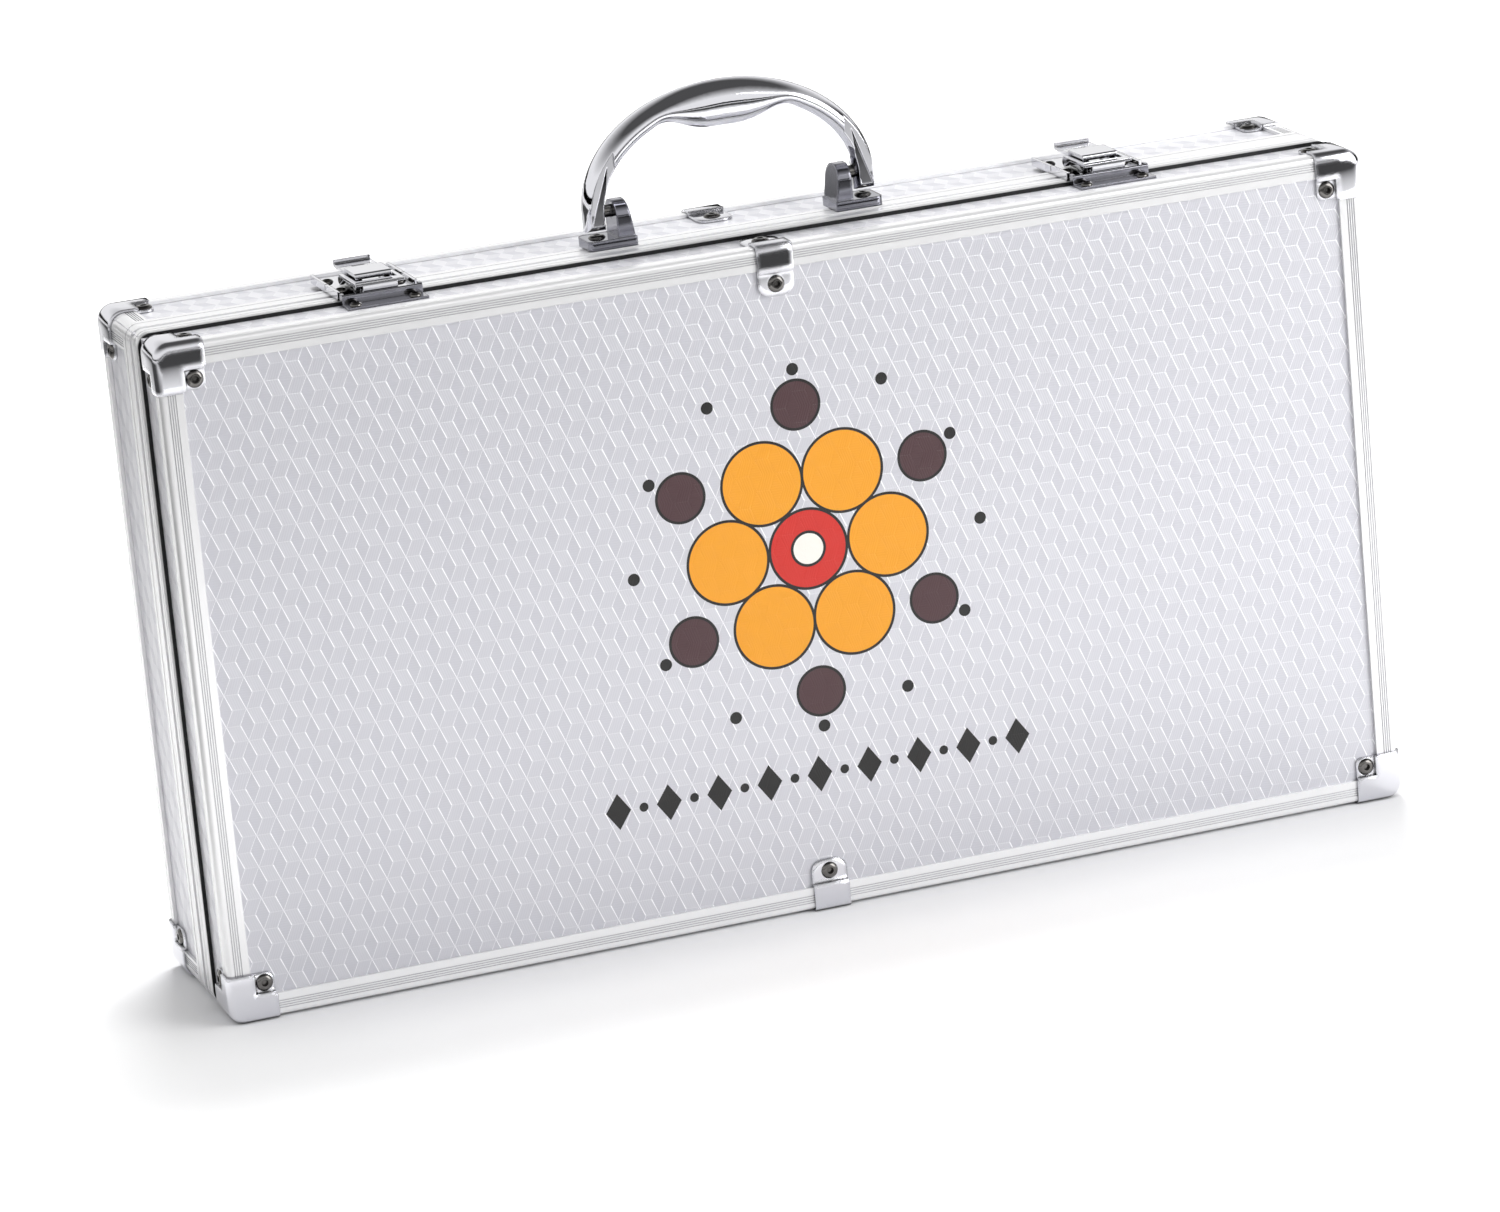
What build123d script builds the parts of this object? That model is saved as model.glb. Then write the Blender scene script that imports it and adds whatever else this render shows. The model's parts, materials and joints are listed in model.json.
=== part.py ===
"""Upright carrying case for a mahjong set: laminated boards in an aluminium frame.

Millimetres, +Z up. The case stands on its long narrow side with the handle on top.
X runs along the width, the lid faces -Y, and the origin is under the middle of the case,
on the plane that the bottom corner caps stand on.
"""
import os
from math import cos, pi, radians, sin

from build123d import *

# ---------------------------------------------------------------- driving dimensions
case_width = 400.0           # X, over the frame profiles
case_height = 217.0          # Z, over the frame profiles
case_depth = 70.0            # Y, lid and base together
lid_depth = 23.0             # from the front face to the parting plane
parting_gap = 1.0            # daylight between the closing frames
corner_radius = 4.5          # outer corners of the frame, seen from the front
least_radius = 0.2           # an inset outline with less than this is drawn square
overcut = 1.0                # how far a cut runs past the face that it opens

profile_wall = 1.2           # aluminium extrusions
board_wall = 3.4             # laminated panels
lining_wall = 1.0            # glued felt lining
lining_clearance = 0.05
pad_thickness = 1.45         # foam under the lining of the big faces
lining_rim_gap = 0.1         # between the lining's rim and the closing frame

edge_face_leg = 7.3          # angle profiles round the front and the rear
edge_side_leg = 5.5
edge_round = 1.6
rib_width = 0.35
rib_depth = 0.3
rib_pitch = 0.75
rib_count = 4
rib_start = 2.3              # first rib, from the outer corner

corner_leg = 8.5             # angle profiles along the depth at the base's corners
corner_rib_start = 5.0

closing_flange = 17.5        # outer flange of the base's closing frame
closing_inner_flange = 8.5   # flange inside the boards
closing_round = 1.5          # outer lip of the base's closing frame
lid_lip_round = 1.1
groove_depth = 0.5
groove_spans = ((3.2, 3.6), (5.6, 9.0), (14.2, 14.7))   # from the parting plane
tongue_wall = 1.2
tongue_reach = 4.0           # past the parting plane, into the base
tongue_clearance = 0.4

cap_wall = 0.8               # pressed corner caps and clips
cap_reach = 15.2
cap_clearance = 0.05
cap_tab_inset = 0.4          # the riveted tab stops this far short of the cap's rim
cap_tab_round = 2.2
seat_clearance = 0.1         # between a tab's step and the profile beside it

clip_width = 12.0
clip_face_reach = 16.0
clip_side_reach = 18.0
clip_tab_round = 4.0

rivet_head = 5.6
small_rivet_head = 4.0
rivet_head_height = 0.9
rivet_shank = 3.2
rivet_dimple = 2.2
rivet_dimple_depth = 0.2     # below the seat of the head
rivet_dome_reach = 0.82      # middle of the dome, as a share of the head's radius
rivet_dome_rise = 0.72       # and as a share of its height
rivet_clearance = 0.05
drill_length = 40.0          # goes through every board and profile at a rivet

handle_span = 97.4           # outside the two legs
handle_height = 47.4         # top of the grip above the case
handle_y = 4.0
pivot_height = 11.0
leg_thickness = 6.7
leg_depth = 11.6
neck_thickness = 7.4
grip_thickness = 15.0
grip_depth = 14.0
grip_half_angle = 30.0       # the swelling reaches this far each side of the top
grip_fullness = 3.0          # how flat the swelling stays before it falls to the neck
section_count = 36           # steps of the loft round the arch
leg_flat_depth = 1.1         # flat cut on the front and rear of each leg
leg_flat_height = 22.0
leg_hollow_depth = 0.5       # framed hollow in each flat
leg_hollow_half_width = 2.0
leg_hollow_low = -3.8        # from the pivot
leg_hollow_high = 15.0
handle_pin = 4.0
handle_pin_sink = 0.8        # from the inner edge of the ear's top
pin_end_gap = 0.3
bore_end_wall = 1.5          # left in the leg past the pin's bore
bore_run_in = 1.0
running_clearance = 0.05
leg_gap = 2.5                # between a leg and the ear beside it
ear_thickness = 6.0
ear_top_thickness = 4.0
ear_height = 14.5
ear_depth = 12.0
ear_round = 5.0
foot_thickness = 3.0
foot_depth = 13.0
foot_margin = 0.8            # the foot ends this far outside the leg
foot_rivet_shift = 0.4       # from the middle of the foot, away from the ear
foot_round = 2.0

latch_side_inset = 78.0      # middle of a latch, from the side of the case
latch_width = 26.0
latch_plate_start = 0.8      # behind the parting plane
latch_plate_length = 30.2
latch_plate_wall = 1.0
latch_flange_height = 2.6
latch_flange_split = 14.0
latch_flange_gap = 0.5
latch_ear_wall = 1.2
latch_ear_gap = 0.2          # between an ear and the lever's wall
latch_boss_gap = 0.3         # between the pivot's boss and the plate
plate_seat_margin = 0.6      # pads under the rear rivets, round the rivets' heads
plate_rivet_u = 9.6
plate_rivet_vs = (9.0, 24.0)
lever_width = 12.0
lever_wall = 1.0
lever_pivot_v = 5.0          # behind the parting plane
lever_pivot_w = 3.0          # above the case
lever_block_front = 3.4
lever_block_length = 12.0
lever_block_top = 6.6
lever_tail_top = 5.7
lever_tail_end = 27.0
lever_curl_radius = 1.2
lever_block_round = 0.8
lever_shoulder_run = 1.0     # slope from the block down to the tail
lever_web_reach = 4.0        # web under the tail, past the hook's pivot
lever_web_toe = 2.0
lever_web_drop = 1.4
lever_rim_length = 4.0       # solid end of the tail
hollow_front = 3.0           # the hollow opens this far in front of the block
hollow_clearance = 0.4       # over the ears' bosses
hollow_wall_near = 0.6
hollow_wall_far = 0.4
slot_start = 4.5             # behind the block
slot_length = 1.2
slot_half_width = 2.0
slot_depth = 2.0
hook_pivot_reach = 10.0      # from the lever's pivot to the hook's pivot
hook_width = 16.0
hook_wall = 1.0
hook_lip_wall = 0.8
hook_lip_inset = 1.0         # each side, from the window
hook_boss_step = 0.2         # smaller than the lever's boss
hook_top = 5.0
hook_front = -3.4
hook_window_front = 0.5
hook_window_length = 40.0    # runs out past the hook's rear
hook_window_low = 2.0
hook_window_high = 20.0
hook_side_clearance = 0.6
latch_pin = 1.6
hook_lip_bottom = 1.6
catch_gap = 0.2
catch_wall = 0.6
catch_top = 2.8
roll_gap = 0.3
roll_wall = 1.1
roll_top = 2.4
keeper_wall = 0.8
keeper_front = -11.0
keeper_rivet_v = -7.6

hinge_side_inset = 80.0      # middle of a hinge, from the side of the case
hinge_width = 42.0
knuckle_count = 5
knuckle_radius = 1.8
knuckle_gap = 0.2
hinge_pin = 1.8
hinge_inset = 1.0            # hinge axis above the underside of the frame
leaf_wall = 0.8
leaf_start = 3.0             # full-width leaf starts this far from the axis
leaf_length = 14.0
leaf_joggle_start = 4.2
leaf_joggle_end = 5.6
hinge_notch_clearance = 0.5

tray_clearance = 0.45
tray_floor_clearance = 0.3
tray_wall = 1.5
tray_divider = 2.0
tray_floor = 1.5
tray_rim = 6.0               # behind the parting plane
tile_row_height = 39.5
tile_rows = 4
accessory_splits = (60.0, 205.0)   # widths of the first two accessory wells

# ---------------------------------------------------------------- places worked out
half_width = case_width / 2
half_depth = case_depth / 2
latch_x = half_width - latch_side_inset
hinge_x = half_width - hinge_side_inset
bottom_z = cap_wall
top_z = bottom_z + case_height
middle_z = (bottom_z + top_z) / 2
parting_y = -half_depth + lid_depth
board_inner = profile_wall + board_wall
frame_inner = board_inner + profile_wall
tongue_outer = frame_inner + tongue_clearance
tongue_inner = tongue_outer + tongue_wall
web_end = parting_gap / 2 + profile_wall
board_face_y = half_depth - profile_wall - board_wall
tab_end = cap_reach - cap_tab_inset
clear_end = cap_reach + overcut
lining_inner = board_inner + lining_clearance + lining_wall
hinge_z = bottom_z + hinge_inset
pivot_z = top_z + pivot_height
leg_x = handle_span / 2 - leg_thickness / 2
leg_inner_x = handle_span / 2 - leg_thickness
ear_outer_x = leg_inner_x - leg_gap
foot_outer_x = handle_span / 2 + foot_margin

SHELLS = {"base": 1, "lid": -1}      # the way that the big face looks along Y
SIDES = ("top", "bottom", "left", "right")
MIRRORS = {"left": -1, "right": 1}
os.makedirs("parts", exist_ok=True)


# ---------------------------------------------------------------- helpers
def save(builder, label):
    """Name a finished piece and write it."""
    builder.part.label = label
    export_step(builder.part, f"parts/{label}.step")


def depth_plane(y):
    """Plane across the depth at y: local x is X, local y is Z, extruding runs to -Y."""
    return Plane(origin=(0, y, middle_z), x_dir=(1, 0, 0), z_dir=(0, -1, 0))


def outline_face(inset, y, inner_inset=None):
    """The case's outline moved in by inset, with the part inside inner_inset left out."""
    with BuildSketch(depth_plane(y)) as face:
        rounded_outline(inset, Mode.ADD)
        if inner_inset is not None:
            rounded_outline(inner_inset, Mode.SUBTRACT)
    return face.sketch


def rounded_outline(inset, mode):
    """One rectangle of the outline, square once the inset has used up the corner radius."""
    width = case_width - 2 * inset
    height = case_height - 2 * inset
    radius = corner_radius - inset
    if radius > least_radius:
        RectangleRounded(width, height, radius, mode=mode)
    else:
        Rectangle(width, height, mode=mode)


def layer(inset, inner_inset, y_low, y_high, mode=Mode.ADD):
    """A ring, or a slab where inner_inset is None, from y_low to y_high."""
    extrude(outline_face(inset, y_high, inner_inset), amount=y_high - y_low, mode=mode)


def shell_layer(facing, inset, inner_inset, near, far, mode=Mode.ADD):
    """A layer measured from a shell's big face towards the parting plane."""
    ends = sorted((facing * (half_depth - near), facing * (half_depth - far)))
    layer(inset, inner_inset, ends[0], ends[1], mode)


def keep_box(x_low, x_high, y_low, y_high, z_low, z_high, mode=Mode.INTERSECT):
    """A box between two corners, used to keep, cut or add."""
    centre = ((x_low + x_high) / 2, (y_low + y_high) / 2, (z_low + z_high) / 2)
    with Locations(centre):
        Box(x_high - x_low, y_high - y_low, z_high - z_low, mode=mode)


def side_profile(x_low, width, points):
    """A closed outline in (y, z) made into a prism along X, starting at x_low."""
    plane = Plane(origin=(x_low, 0, 0), x_dir=(0, 1, 0), z_dir=(1, 0, 0))
    with BuildSketch(plane) as face:
        with BuildLine():
            Polyline(*points, close=True)
        make_face()
    return extrude(face.sketch, amount=width, mode=Mode.PRIVATE)


def rivet_places(positions, side):
    """Rivet planes on one side: a position is (x, y, z) and the plane looks outward."""
    outward = {"top": (0, 0, 1), "bottom": (0, 0, -1), "left": (-1, 0, 0),
               "right": (1, 0, 0), "rear": (0, 1, 0), "front": (0, -1, 0)}[side]
    return [Plane(origin=place, z_dir=outward) for place in positions]


# ---------------------------------------------------------------- rivet places
cap_face_rivet = (edge_face_leg + seat_clearance + cap_wall + tab_end) / 2
cap_depth_rivet = (edge_side_leg + seat_clearance + cap_wall + tab_end) / 2
cap_cross_rivet = (corner_leg + seat_clearance + cap_wall + tab_end) / 2
tab_top = cap_wall - profile_wall + cap_clearance     # a riveted tab's face, from the frame's
clip_face_rivet = (edge_face_leg + clip_face_reach) / 2 + cap_wall / 2
clip_side_rivet = (edge_side_leg + clip_side_reach) / 2 + cap_wall / 2
flush_head = leaf_wall / 2   # heads of the base leaves' rivets, sunk into the leaf
hinge_rivet_xs = (-hinge_width / 3, 0.0, hinge_width / 3)


def cap_rivets(facing):
    """Places of the rivets of the four caps of one shell, by side."""
    face_y = facing * (half_depth + tab_top)
    depth_y = facing * (half_depth - cap_depth_rivet)
    places = {"face": [], "top": [], "bottom": [], "left": [], "right": []}
    for across in (-1, 1):
        for up, side in ((1, "top"), (-1, "bottom")):
            x_face = across * (half_width - cap_face_rivet)
            z_face = middle_z + up * (case_height / 2 - cap_face_rivet)
            places["face"].append((x_face, face_y, z_face))
            x_cross = across * (half_width - cap_cross_rivet)
            places[side].append((x_cross, depth_y, middle_z + up * (case_height / 2 + tab_top)))
            z_cross = middle_z + up * (case_height / 2 - cap_cross_rivet)
            flank = "right" if across > 0 else "left"
            places[flank].append((across * (half_width + tab_top), depth_y, z_cross))
    return places


def clip_rivets(facing):
    """Places of the rivets of the two clips of one shell, by side."""
    places = {"face": [], "top": [], "bottom": [], "left": [], "right": []}
    for up, side in ((1, "top"), (-1, "bottom")):
        z_face = middle_z + up * (case_height / 2 - clip_face_rivet)
        places["face"].append((0, facing * (half_depth + tab_top), z_face))
        z_side = middle_z + up * (case_height / 2 + tab_top)
        places[side].append((0, facing * (half_depth - clip_side_rivet), z_side))
    return places


big_rivets = {}
for shell_name, shell_facing in SHELLS.items():
    merged = cap_rivets(shell_facing)
    for side_name, found in clip_rivets(shell_facing).items():
        merged[side_name] = merged[side_name] + found
    big_rivets[shell_name] = merged

foot_rivet_x = (ear_outer_x + foot_outer_x) / 2 + foot_rivet_shift
foot_rivets = [(across * foot_rivet_x, handle_y, top_z + foot_thickness) for across in (-1, 1)]

plate_rivets = []
keeper_rivets = []
for across in (-1, 1):
    for flank in (-1, 1):
        rivet_x = across * latch_x + flank * plate_rivet_u
        keeper_z = top_z - profile_wall + keeper_wall
        keeper_rivets.append((rivet_x, parting_y + keeper_rivet_v, keeper_z))
        for rivet_v in plate_rivet_vs:
            plate_rivets.append((rivet_x, parting_y + rivet_v, top_z + latch_plate_wall))

base_leaf_y = parting_y + (leaf_start + leaf_length) / 2
lid_leaf_y = parting_y - (leaf_joggle_end + leaf_length) / 2
lid_leaf_z = bottom_z + profile_wall - leaf_wall
base_leaf_rivets = []
lid_leaf_rivets = []
for across in (-1, 1):
    for rivet_x in hinge_rivet_xs:
        base_leaf_rivets.append((across * hinge_x + rivet_x, base_leaf_y, 0.0))
        lid_leaf_rivets.append((across * hinge_x + rivet_x, lid_leaf_y, lid_leaf_z))

small_rivets = {"base": {"top": plate_rivets, "bottom": []},
                "lid": {"top": keeper_rivets, "bottom": lid_leaf_rivets}}


def shank_planes(shell, side):
    """Every rivet that passes through one board, as planes that look outward."""
    outward = side
    if side == "face":
        outward = "rear" if SHELLS[shell] > 0 else "front"
    planes = rivet_places(big_rivets[shell][side], outward)
    if side in ("top", "bottom"):
        planes = planes + rivet_places(small_rivets[shell][side], side)
    if shell == "base" and side == "top":
        planes = planes + rivet_places(foot_rivets, "top")
    if shell == "base" and side == "bottom":
        planes = planes + rivet_places(base_leaf_rivets, "bottom")
    return planes


def cut_shank_holes(planes):
    """Clearance holes for rivet shanks in the piece being made."""
    with Locations(*planes):
        Cylinder(rivet_shank / 2 + rivet_clearance, drill_length, mode=Mode.SUBTRACT)


def cut_hinge_notches():
    """Room for the hinge knuckles in the lower edges of the shell being made."""
    room = knuckle_radius + hinge_notch_clearance
    for across in (-1, 1):
        centre = across * hinge_x
        reach = hinge_width / 2 + hinge_notch_clearance
        keep_box(centre - reach, centre + reach, parting_y - room, parting_y + room,
                 bottom_z - overcut, hinge_z + room, Mode.SUBTRACT)


# ---------------------------------------------------------------- angle profiles of the faces
def wedge_face(side):
    """The quarter of the face that belongs to one side, cut by the mitres."""
    reach_x = half_width + overcut
    reach_z = case_height / 2 + overcut
    inner_x = reach_x - reach_z
    corners = {"top": ((-reach_x, reach_z), (reach_x, reach_z), (inner_x, 0), (-inner_x, 0)),
               "left": ((-reach_x, reach_z), (-inner_x, 0), (-reach_x, -reach_z))}
    corners["bottom"] = [(x, -z) for x, z in corners["top"]]
    corners["right"] = [(-x, z) for x, z in corners["left"]]
    with BuildSketch(depth_plane(half_depth)) as face:
        with BuildLine():
            Polyline(*corners[side], close=True)
        make_face()
    return face.sketch


for shell, facing in SHELLS.items():
    with BuildPart() as edge_ring:
        shell_layer(facing, 0, profile_wall, 0, edge_side_leg)
        shell_layer(facing, 0, edge_face_leg, 0, profile_wall)
        outer_face = edge_ring.faces().sort_by(Axis.Y)[-1 if facing > 0 else 0]
        fillet(outer_face.outer_wire().edges(), edge_round)
        for rib in range(rib_count):
            start = rib_start + rib * rib_pitch
            shell_layer(facing, start, start + rib_width, -overcut, rib_depth, Mode.SUBTRACT)
    for side in SIDES:
        with BuildPart() as edge_bar:
            add(edge_ring.part)
            extrude(wedge_face(side), amount=case_depth, mode=Mode.INTERSECT)
        save(edge_bar, f"{shell}_edge_{side}")

# ---------------------------------------------------------------- laminated boards
for shell, facing in SHELLS.items():
    with BuildPart() as face_board:
        shell_layer(facing, profile_wall, None, profile_wall, board_inner)
        cut_shank_holes(shank_planes(shell, "face"))
    save(face_board, f"{shell}_panel")

    board_low, board_high = parting_y + web_end, board_face_y
    if facing < 0:
        board_low, board_high = -board_face_y, parting_y - web_end
    inner_x = half_width - board_inner
    inner_top = top_z - board_inner
    inner_bottom = bottom_z + board_inner
    regions = {"top": (-half_width, half_width, inner_top, top_z),
               "bottom": (-half_width, half_width, bottom_z, inner_bottom),
               "left": (-half_width, -inner_x, inner_bottom, inner_top),
               "right": (inner_x, half_width, inner_bottom, inner_top)}
    for side, (x_low, x_high, z_low, z_high) in regions.items():
        with BuildPart() as side_board:
            layer(profile_wall, board_inner, board_low, board_high)
            keep_box(x_low, x_high, board_low, board_high, z_low, z_high)
            cut_shank_holes(shank_planes(shell, side))
            if side == "bottom":
                cut_hinge_notches()
        save(side_board, f"{shell}_side_{side}")

# ---------------------------------------------------------------- corner profiles of the base
corner_low = parting_y + closing_flange
corner_high = half_depth - edge_side_leg
for up, level in ((1, "top"), (-1, "bottom")):
    for flank, across in MIRRORS.items():
        with BuildPart() as corner_bar:
            layer(0, profile_wall, corner_low, corner_high)
            for rib in range(rib_count):
                start = corner_rib_start + rib * rib_pitch
                for x_cut, z_cut in ((start, 0), (0, start)):
                    x = across * (half_width - x_cut)
                    z = middle_z + up * (case_height / 2 - z_cut)
                    with Locations((x, (corner_low + corner_high) / 2, z)):
                        Box(rib_width if x_cut else 2 * rib_depth, corner_high - corner_low,
                            rib_width if z_cut else 2 * rib_depth, mode=Mode.SUBTRACT)
            x_ends = sorted((across * half_width, across * (half_width - corner_leg)))
            z_edge = middle_z + up * case_height / 2
            z_ends = sorted((z_edge, z_edge - up * corner_leg))
            keep_box(x_ends[0], x_ends[1], corner_low, corner_high, z_ends[0], z_ends[1])
        save(corner_bar, f"base_corner_profile_{level}_{flank}")

# ---------------------------------------------------------------- closing frames
with BuildPart() as base_closing_frame:
    frame_start = parting_y + parting_gap / 2
    layer(0, profile_wall, frame_start, parting_y + closing_flange)
    layer(0, frame_inner, frame_start, parting_y + web_end)
    layer(board_inner, frame_inner, frame_start, parting_y + web_end + closing_inner_flange)
    lip_face = base_closing_frame.faces().sort_by(Axis.Y)[0]
    fillet(lip_face.outer_wire().edges(), closing_round)
    for groove_near, groove_far in groove_spans:
        layer(-overcut, groove_depth, parting_y + groove_near, parting_y + groove_far, Mode.SUBTRACT)
    cut_hinge_notches()
    cut_shank_holes(rivet_places(plate_rivets + foot_rivets, "top"))
    cut_shank_holes(rivet_places(base_leaf_rivets, "bottom"))
save(base_closing_frame, "base_closing_frame")

with BuildPart() as lid_closing_frame:
    frame_end = parting_y - parting_gap / 2
    layer(0, tongue_inner, parting_y - web_end, frame_end)
    lip_face = lid_closing_frame.faces().sort_by(Axis.Y)[-1]
    fillet(lip_face.outer_wire().edges(), lid_lip_round)
    layer(tongue_outer, tongue_inner, parting_y - web_end, parting_y + tongue_reach)
    inner_low = parting_y - web_end - closing_inner_flange
    layer(board_inner, frame_inner, inner_low, parting_y - web_end)
    cut_hinge_notches()
save(lid_closing_frame, "lid_closing_frame")

# ---------------------------------------------------------------- corner caps
corner_point = (half_width, half_depth, top_z)
cap_tabs = (
    (Plane(origin=corner_point, x_dir=(0, 0, -1), z_dir=(0, 1, 0)), edge_face_leg, edge_face_leg),
    (Plane(origin=corner_point, x_dir=(0, -1, 0), z_dir=(1, 0, 0)), edge_side_leg, corner_leg),
    (Plane(origin=corner_point, x_dir=(-1, 0, 0), z_dir=(0, 0, 1)), corner_leg, edge_side_leg),
)


def tab_sketch(plane, u_low, u_high, v_low, v_high, radius=0.0):
    """A rectangle on a cap's face, the corner furthest from the cap's point rounded."""
    with BuildSketch(plane) as face:
        with BuildLine():
            Polyline((u_low, v_low), (u_high, v_low), (u_high, v_high), (u_low, v_high), close=True)
        make_face()
        if radius > 0:
            fillet(face.vertices().sort_by_distance((u_low, v_low))[-1], radius)
    return face.sketch


with BuildPart() as frame_body:
    layer(-cap_clearance, None, -half_depth, half_depth + cap_clearance)
    outer_face = frame_body.faces().sort_by(Axis.Y)[-1]
    fillet(outer_face.outer_wire().edges(), edge_round + cap_clearance)

with BuildPart() as cap_master:
    layer(-cap_wall, None, half_depth - cap_reach, half_depth + cap_wall)
    outer_face = cap_master.faces().sort_by(Axis.Y)[-1]
    fillet(outer_face.outer_wire().edges(), edge_round + cap_wall)
    keep_box(half_width - cap_reach, half_width + cap_wall, half_depth - cap_reach,
             half_depth + cap_wall, top_z - cap_reach, top_z + cap_wall)
    add(frame_body.part, mode=Mode.SUBTRACT)
    for tab_plane, u_leg, v_leg in cap_tabs:
        u_start = u_leg + seat_clearance
        v_start = v_leg + seat_clearance
        tab_bottom = cap_clearance - profile_wall
        seat_plane = tab_plane.offset(tab_bottom)
        extrude(tab_sketch(tab_plane, u_start, clear_end, v_start, clear_end),
                amount=cap_wall + overcut, mode=Mode.SUBTRACT)
        extrude(tab_sketch(seat_plane, u_start, tab_end, v_start, tab_end, cap_tab_round),
                amount=cap_wall)
        wall_height = profile_wall - cap_clearance + cap_wall
        extrude(tab_sketch(seat_plane, u_start, u_start + cap_wall, v_start, tab_end),
                amount=wall_height)
        extrude(tab_sketch(seat_plane, u_start, tab_end, v_start, v_start + cap_wall),
                amount=wall_height)

right_top_rivets = [plane for shell_side in ("face", "top", "right")
                    for plane in shank_planes("base", shell_side)]
with BuildPart() as cap_drilled:
    add(cap_master.part)
    cut_shank_holes(right_top_rivets)

for shell, facing in SHELLS.items():
    for up, level in ((1, "top"), (-1, "bottom")):
        for flank, across in MIRRORS.items():
            with BuildPart() as corner_cap:
                add(cap_drilled.part)
                if facing < 0:
                    mirror(corner_cap.part, about=Plane.XZ, mode=Mode.REPLACE)
                if up < 0:
                    mirror(corner_cap.part, about=Plane.XY.offset(middle_z), mode=Mode.REPLACE)
                if across < 0:
                    mirror(corner_cap.part, about=Plane.YZ, mode=Mode.REPLACE)
            save(corner_cap, f"{shell}_cap_{level}_{flank}")

# ---------------------------------------------------------------- middle clips
step_in = profile_wall - cap_clearance       # from the frame's face down to the board
face_step = edge_face_leg + seat_clearance
side_step = edge_side_leg + seat_clearance
clip_outline = [
    (half_depth - clip_side_reach, top_z - step_in),
    (half_depth - side_step, top_z - step_in),
    (half_depth - side_step, top_z + cap_clearance),
    (half_depth + cap_clearance, top_z + cap_clearance),
    (half_depth + cap_clearance, top_z - face_step),
    (half_depth - step_in, top_z - face_step),
    (half_depth - step_in, top_z - clip_face_reach),
    (half_depth - step_in + cap_wall, top_z - clip_face_reach),
    (half_depth - step_in + cap_wall, top_z - face_step - cap_wall),
    (half_depth + cap_wall, top_z - face_step - cap_wall),
    (half_depth + cap_wall, top_z + cap_wall),
    (half_depth - side_step - cap_wall, top_z + cap_wall),
    (half_depth - side_step - cap_wall, top_z - step_in + cap_wall),
    (half_depth - clip_side_reach, top_z - step_in + cap_wall),
]
with BuildPart() as clip_master:
    add(side_profile(-clip_width / 2, clip_width, clip_outline))
    ridge = clip_master.edges().filter_by(Axis.X).sort_by(lambda edge: edge.center().Y
                                                          + edge.center().Z)[-1]
    fillet(ridge, edge_round)
    end_edges = clip_master.edges().filter_by(Axis.Z).group_by(Axis.Y)[0]
    fillet(end_edges, clip_tab_round)
    end_edges = clip_master.edges().filter_by(Axis.Y).group_by(Axis.Z)[0]
    fillet(end_edges, clip_tab_round)
    cut_shank_holes(rivet_places([(0, half_depth, top_z - clip_face_rivet)], "rear"))
    cut_shank_holes(rivet_places([(0, half_depth - clip_side_rivet, top_z)], "top"))

for shell, facing in SHELLS.items():
    for up, level in ((1, "top"), (-1, "bottom")):
        with BuildPart() as clip:
            add(clip_master.part)
            if facing < 0:
                mirror(clip.part, about=Plane.XZ, mode=Mode.REPLACE)
            if up < 0:
                mirror(clip.part, about=Plane.XY.offset(middle_z), mode=Mode.REPLACE)
        save(clip, f"{shell}_clip_{level}")

# ---------------------------------------------------------------- rivets
def rivet_solid(head_diameter, head_height, grip):
    """A blind rivet: a low dome with the mandrel's hollow, and its shank down to grip."""
    head = head_diameter / 2
    hollow = rivet_dimple / 2
    dome_middle = (head * rivet_dome_reach, head_height * rivet_dome_rise)
    with BuildPart() as rivet:
        with BuildSketch(Plane.XZ):
            with BuildLine():
                Polyline((0, -grip), (rivet_shank / 2, -grip), (rivet_shank / 2, 0), (head, 0))
                ThreePointArc((head, 0), dome_middle, (hollow, head_height))
                Polyline((hollow, head_height), (hollow, -rivet_dimple_depth),
                         (0, -rivet_dimple_depth), (0, -grip))
            make_face()
        revolve(axis=Axis.Z)
    return rivet.part


def place_rivets(solid, planes):
    """Copies of one rivet at each place, in the piece being made."""
    with Locations(*planes):
        add(solid)


tab_grip = cap_wall + board_wall
face_of = {"base": "rear", "lid": "front"}
tab_rivet = rivet_solid(rivet_head, rivet_head_height, tab_grip)
for shell in SHELLS:
    with BuildPart() as rivets:
        for side, found in big_rivets[shell].items():
            outward = face_of[shell] if side == "face" else side
            place_rivets(tab_rivet, rivet_places(found, outward))
        if shell == "base":
            foot_grip = foot_thickness + board_inner
            place_rivets(rivet_solid(rivet_head, rivet_head_height, foot_grip),
                         rivet_places(foot_rivets, "top"))
            plate_grip = latch_plate_wall + board_inner
            place_rivets(rivet_solid(small_rivet_head, rivet_head_height, plate_grip),
                         rivet_places(plate_rivets, "top"))
            leaf_grip = leaf_wall + board_inner - flush_head
            flush_rivet = rivet_solid(small_rivet_head, flush_head, leaf_grip)
            flush_places = [(x, y, z + flush_head) for x, y, z in base_leaf_rivets]
            place_rivets(flush_rivet, rivet_places(flush_places, "bottom"))
        else:
            place_rivets(rivet_solid(small_rivet_head, rivet_head_height,
                                     keeper_wall + board_wall), rivet_places(keeper_rivets, "top"))
            place_rivets(rivet_solid(small_rivet_head, rivet_head_height,
                                     leaf_wall + board_wall),
                         rivet_places(lid_leaf_rivets, "bottom"))
    save(rivets, f"{shell}_rivets")

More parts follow.
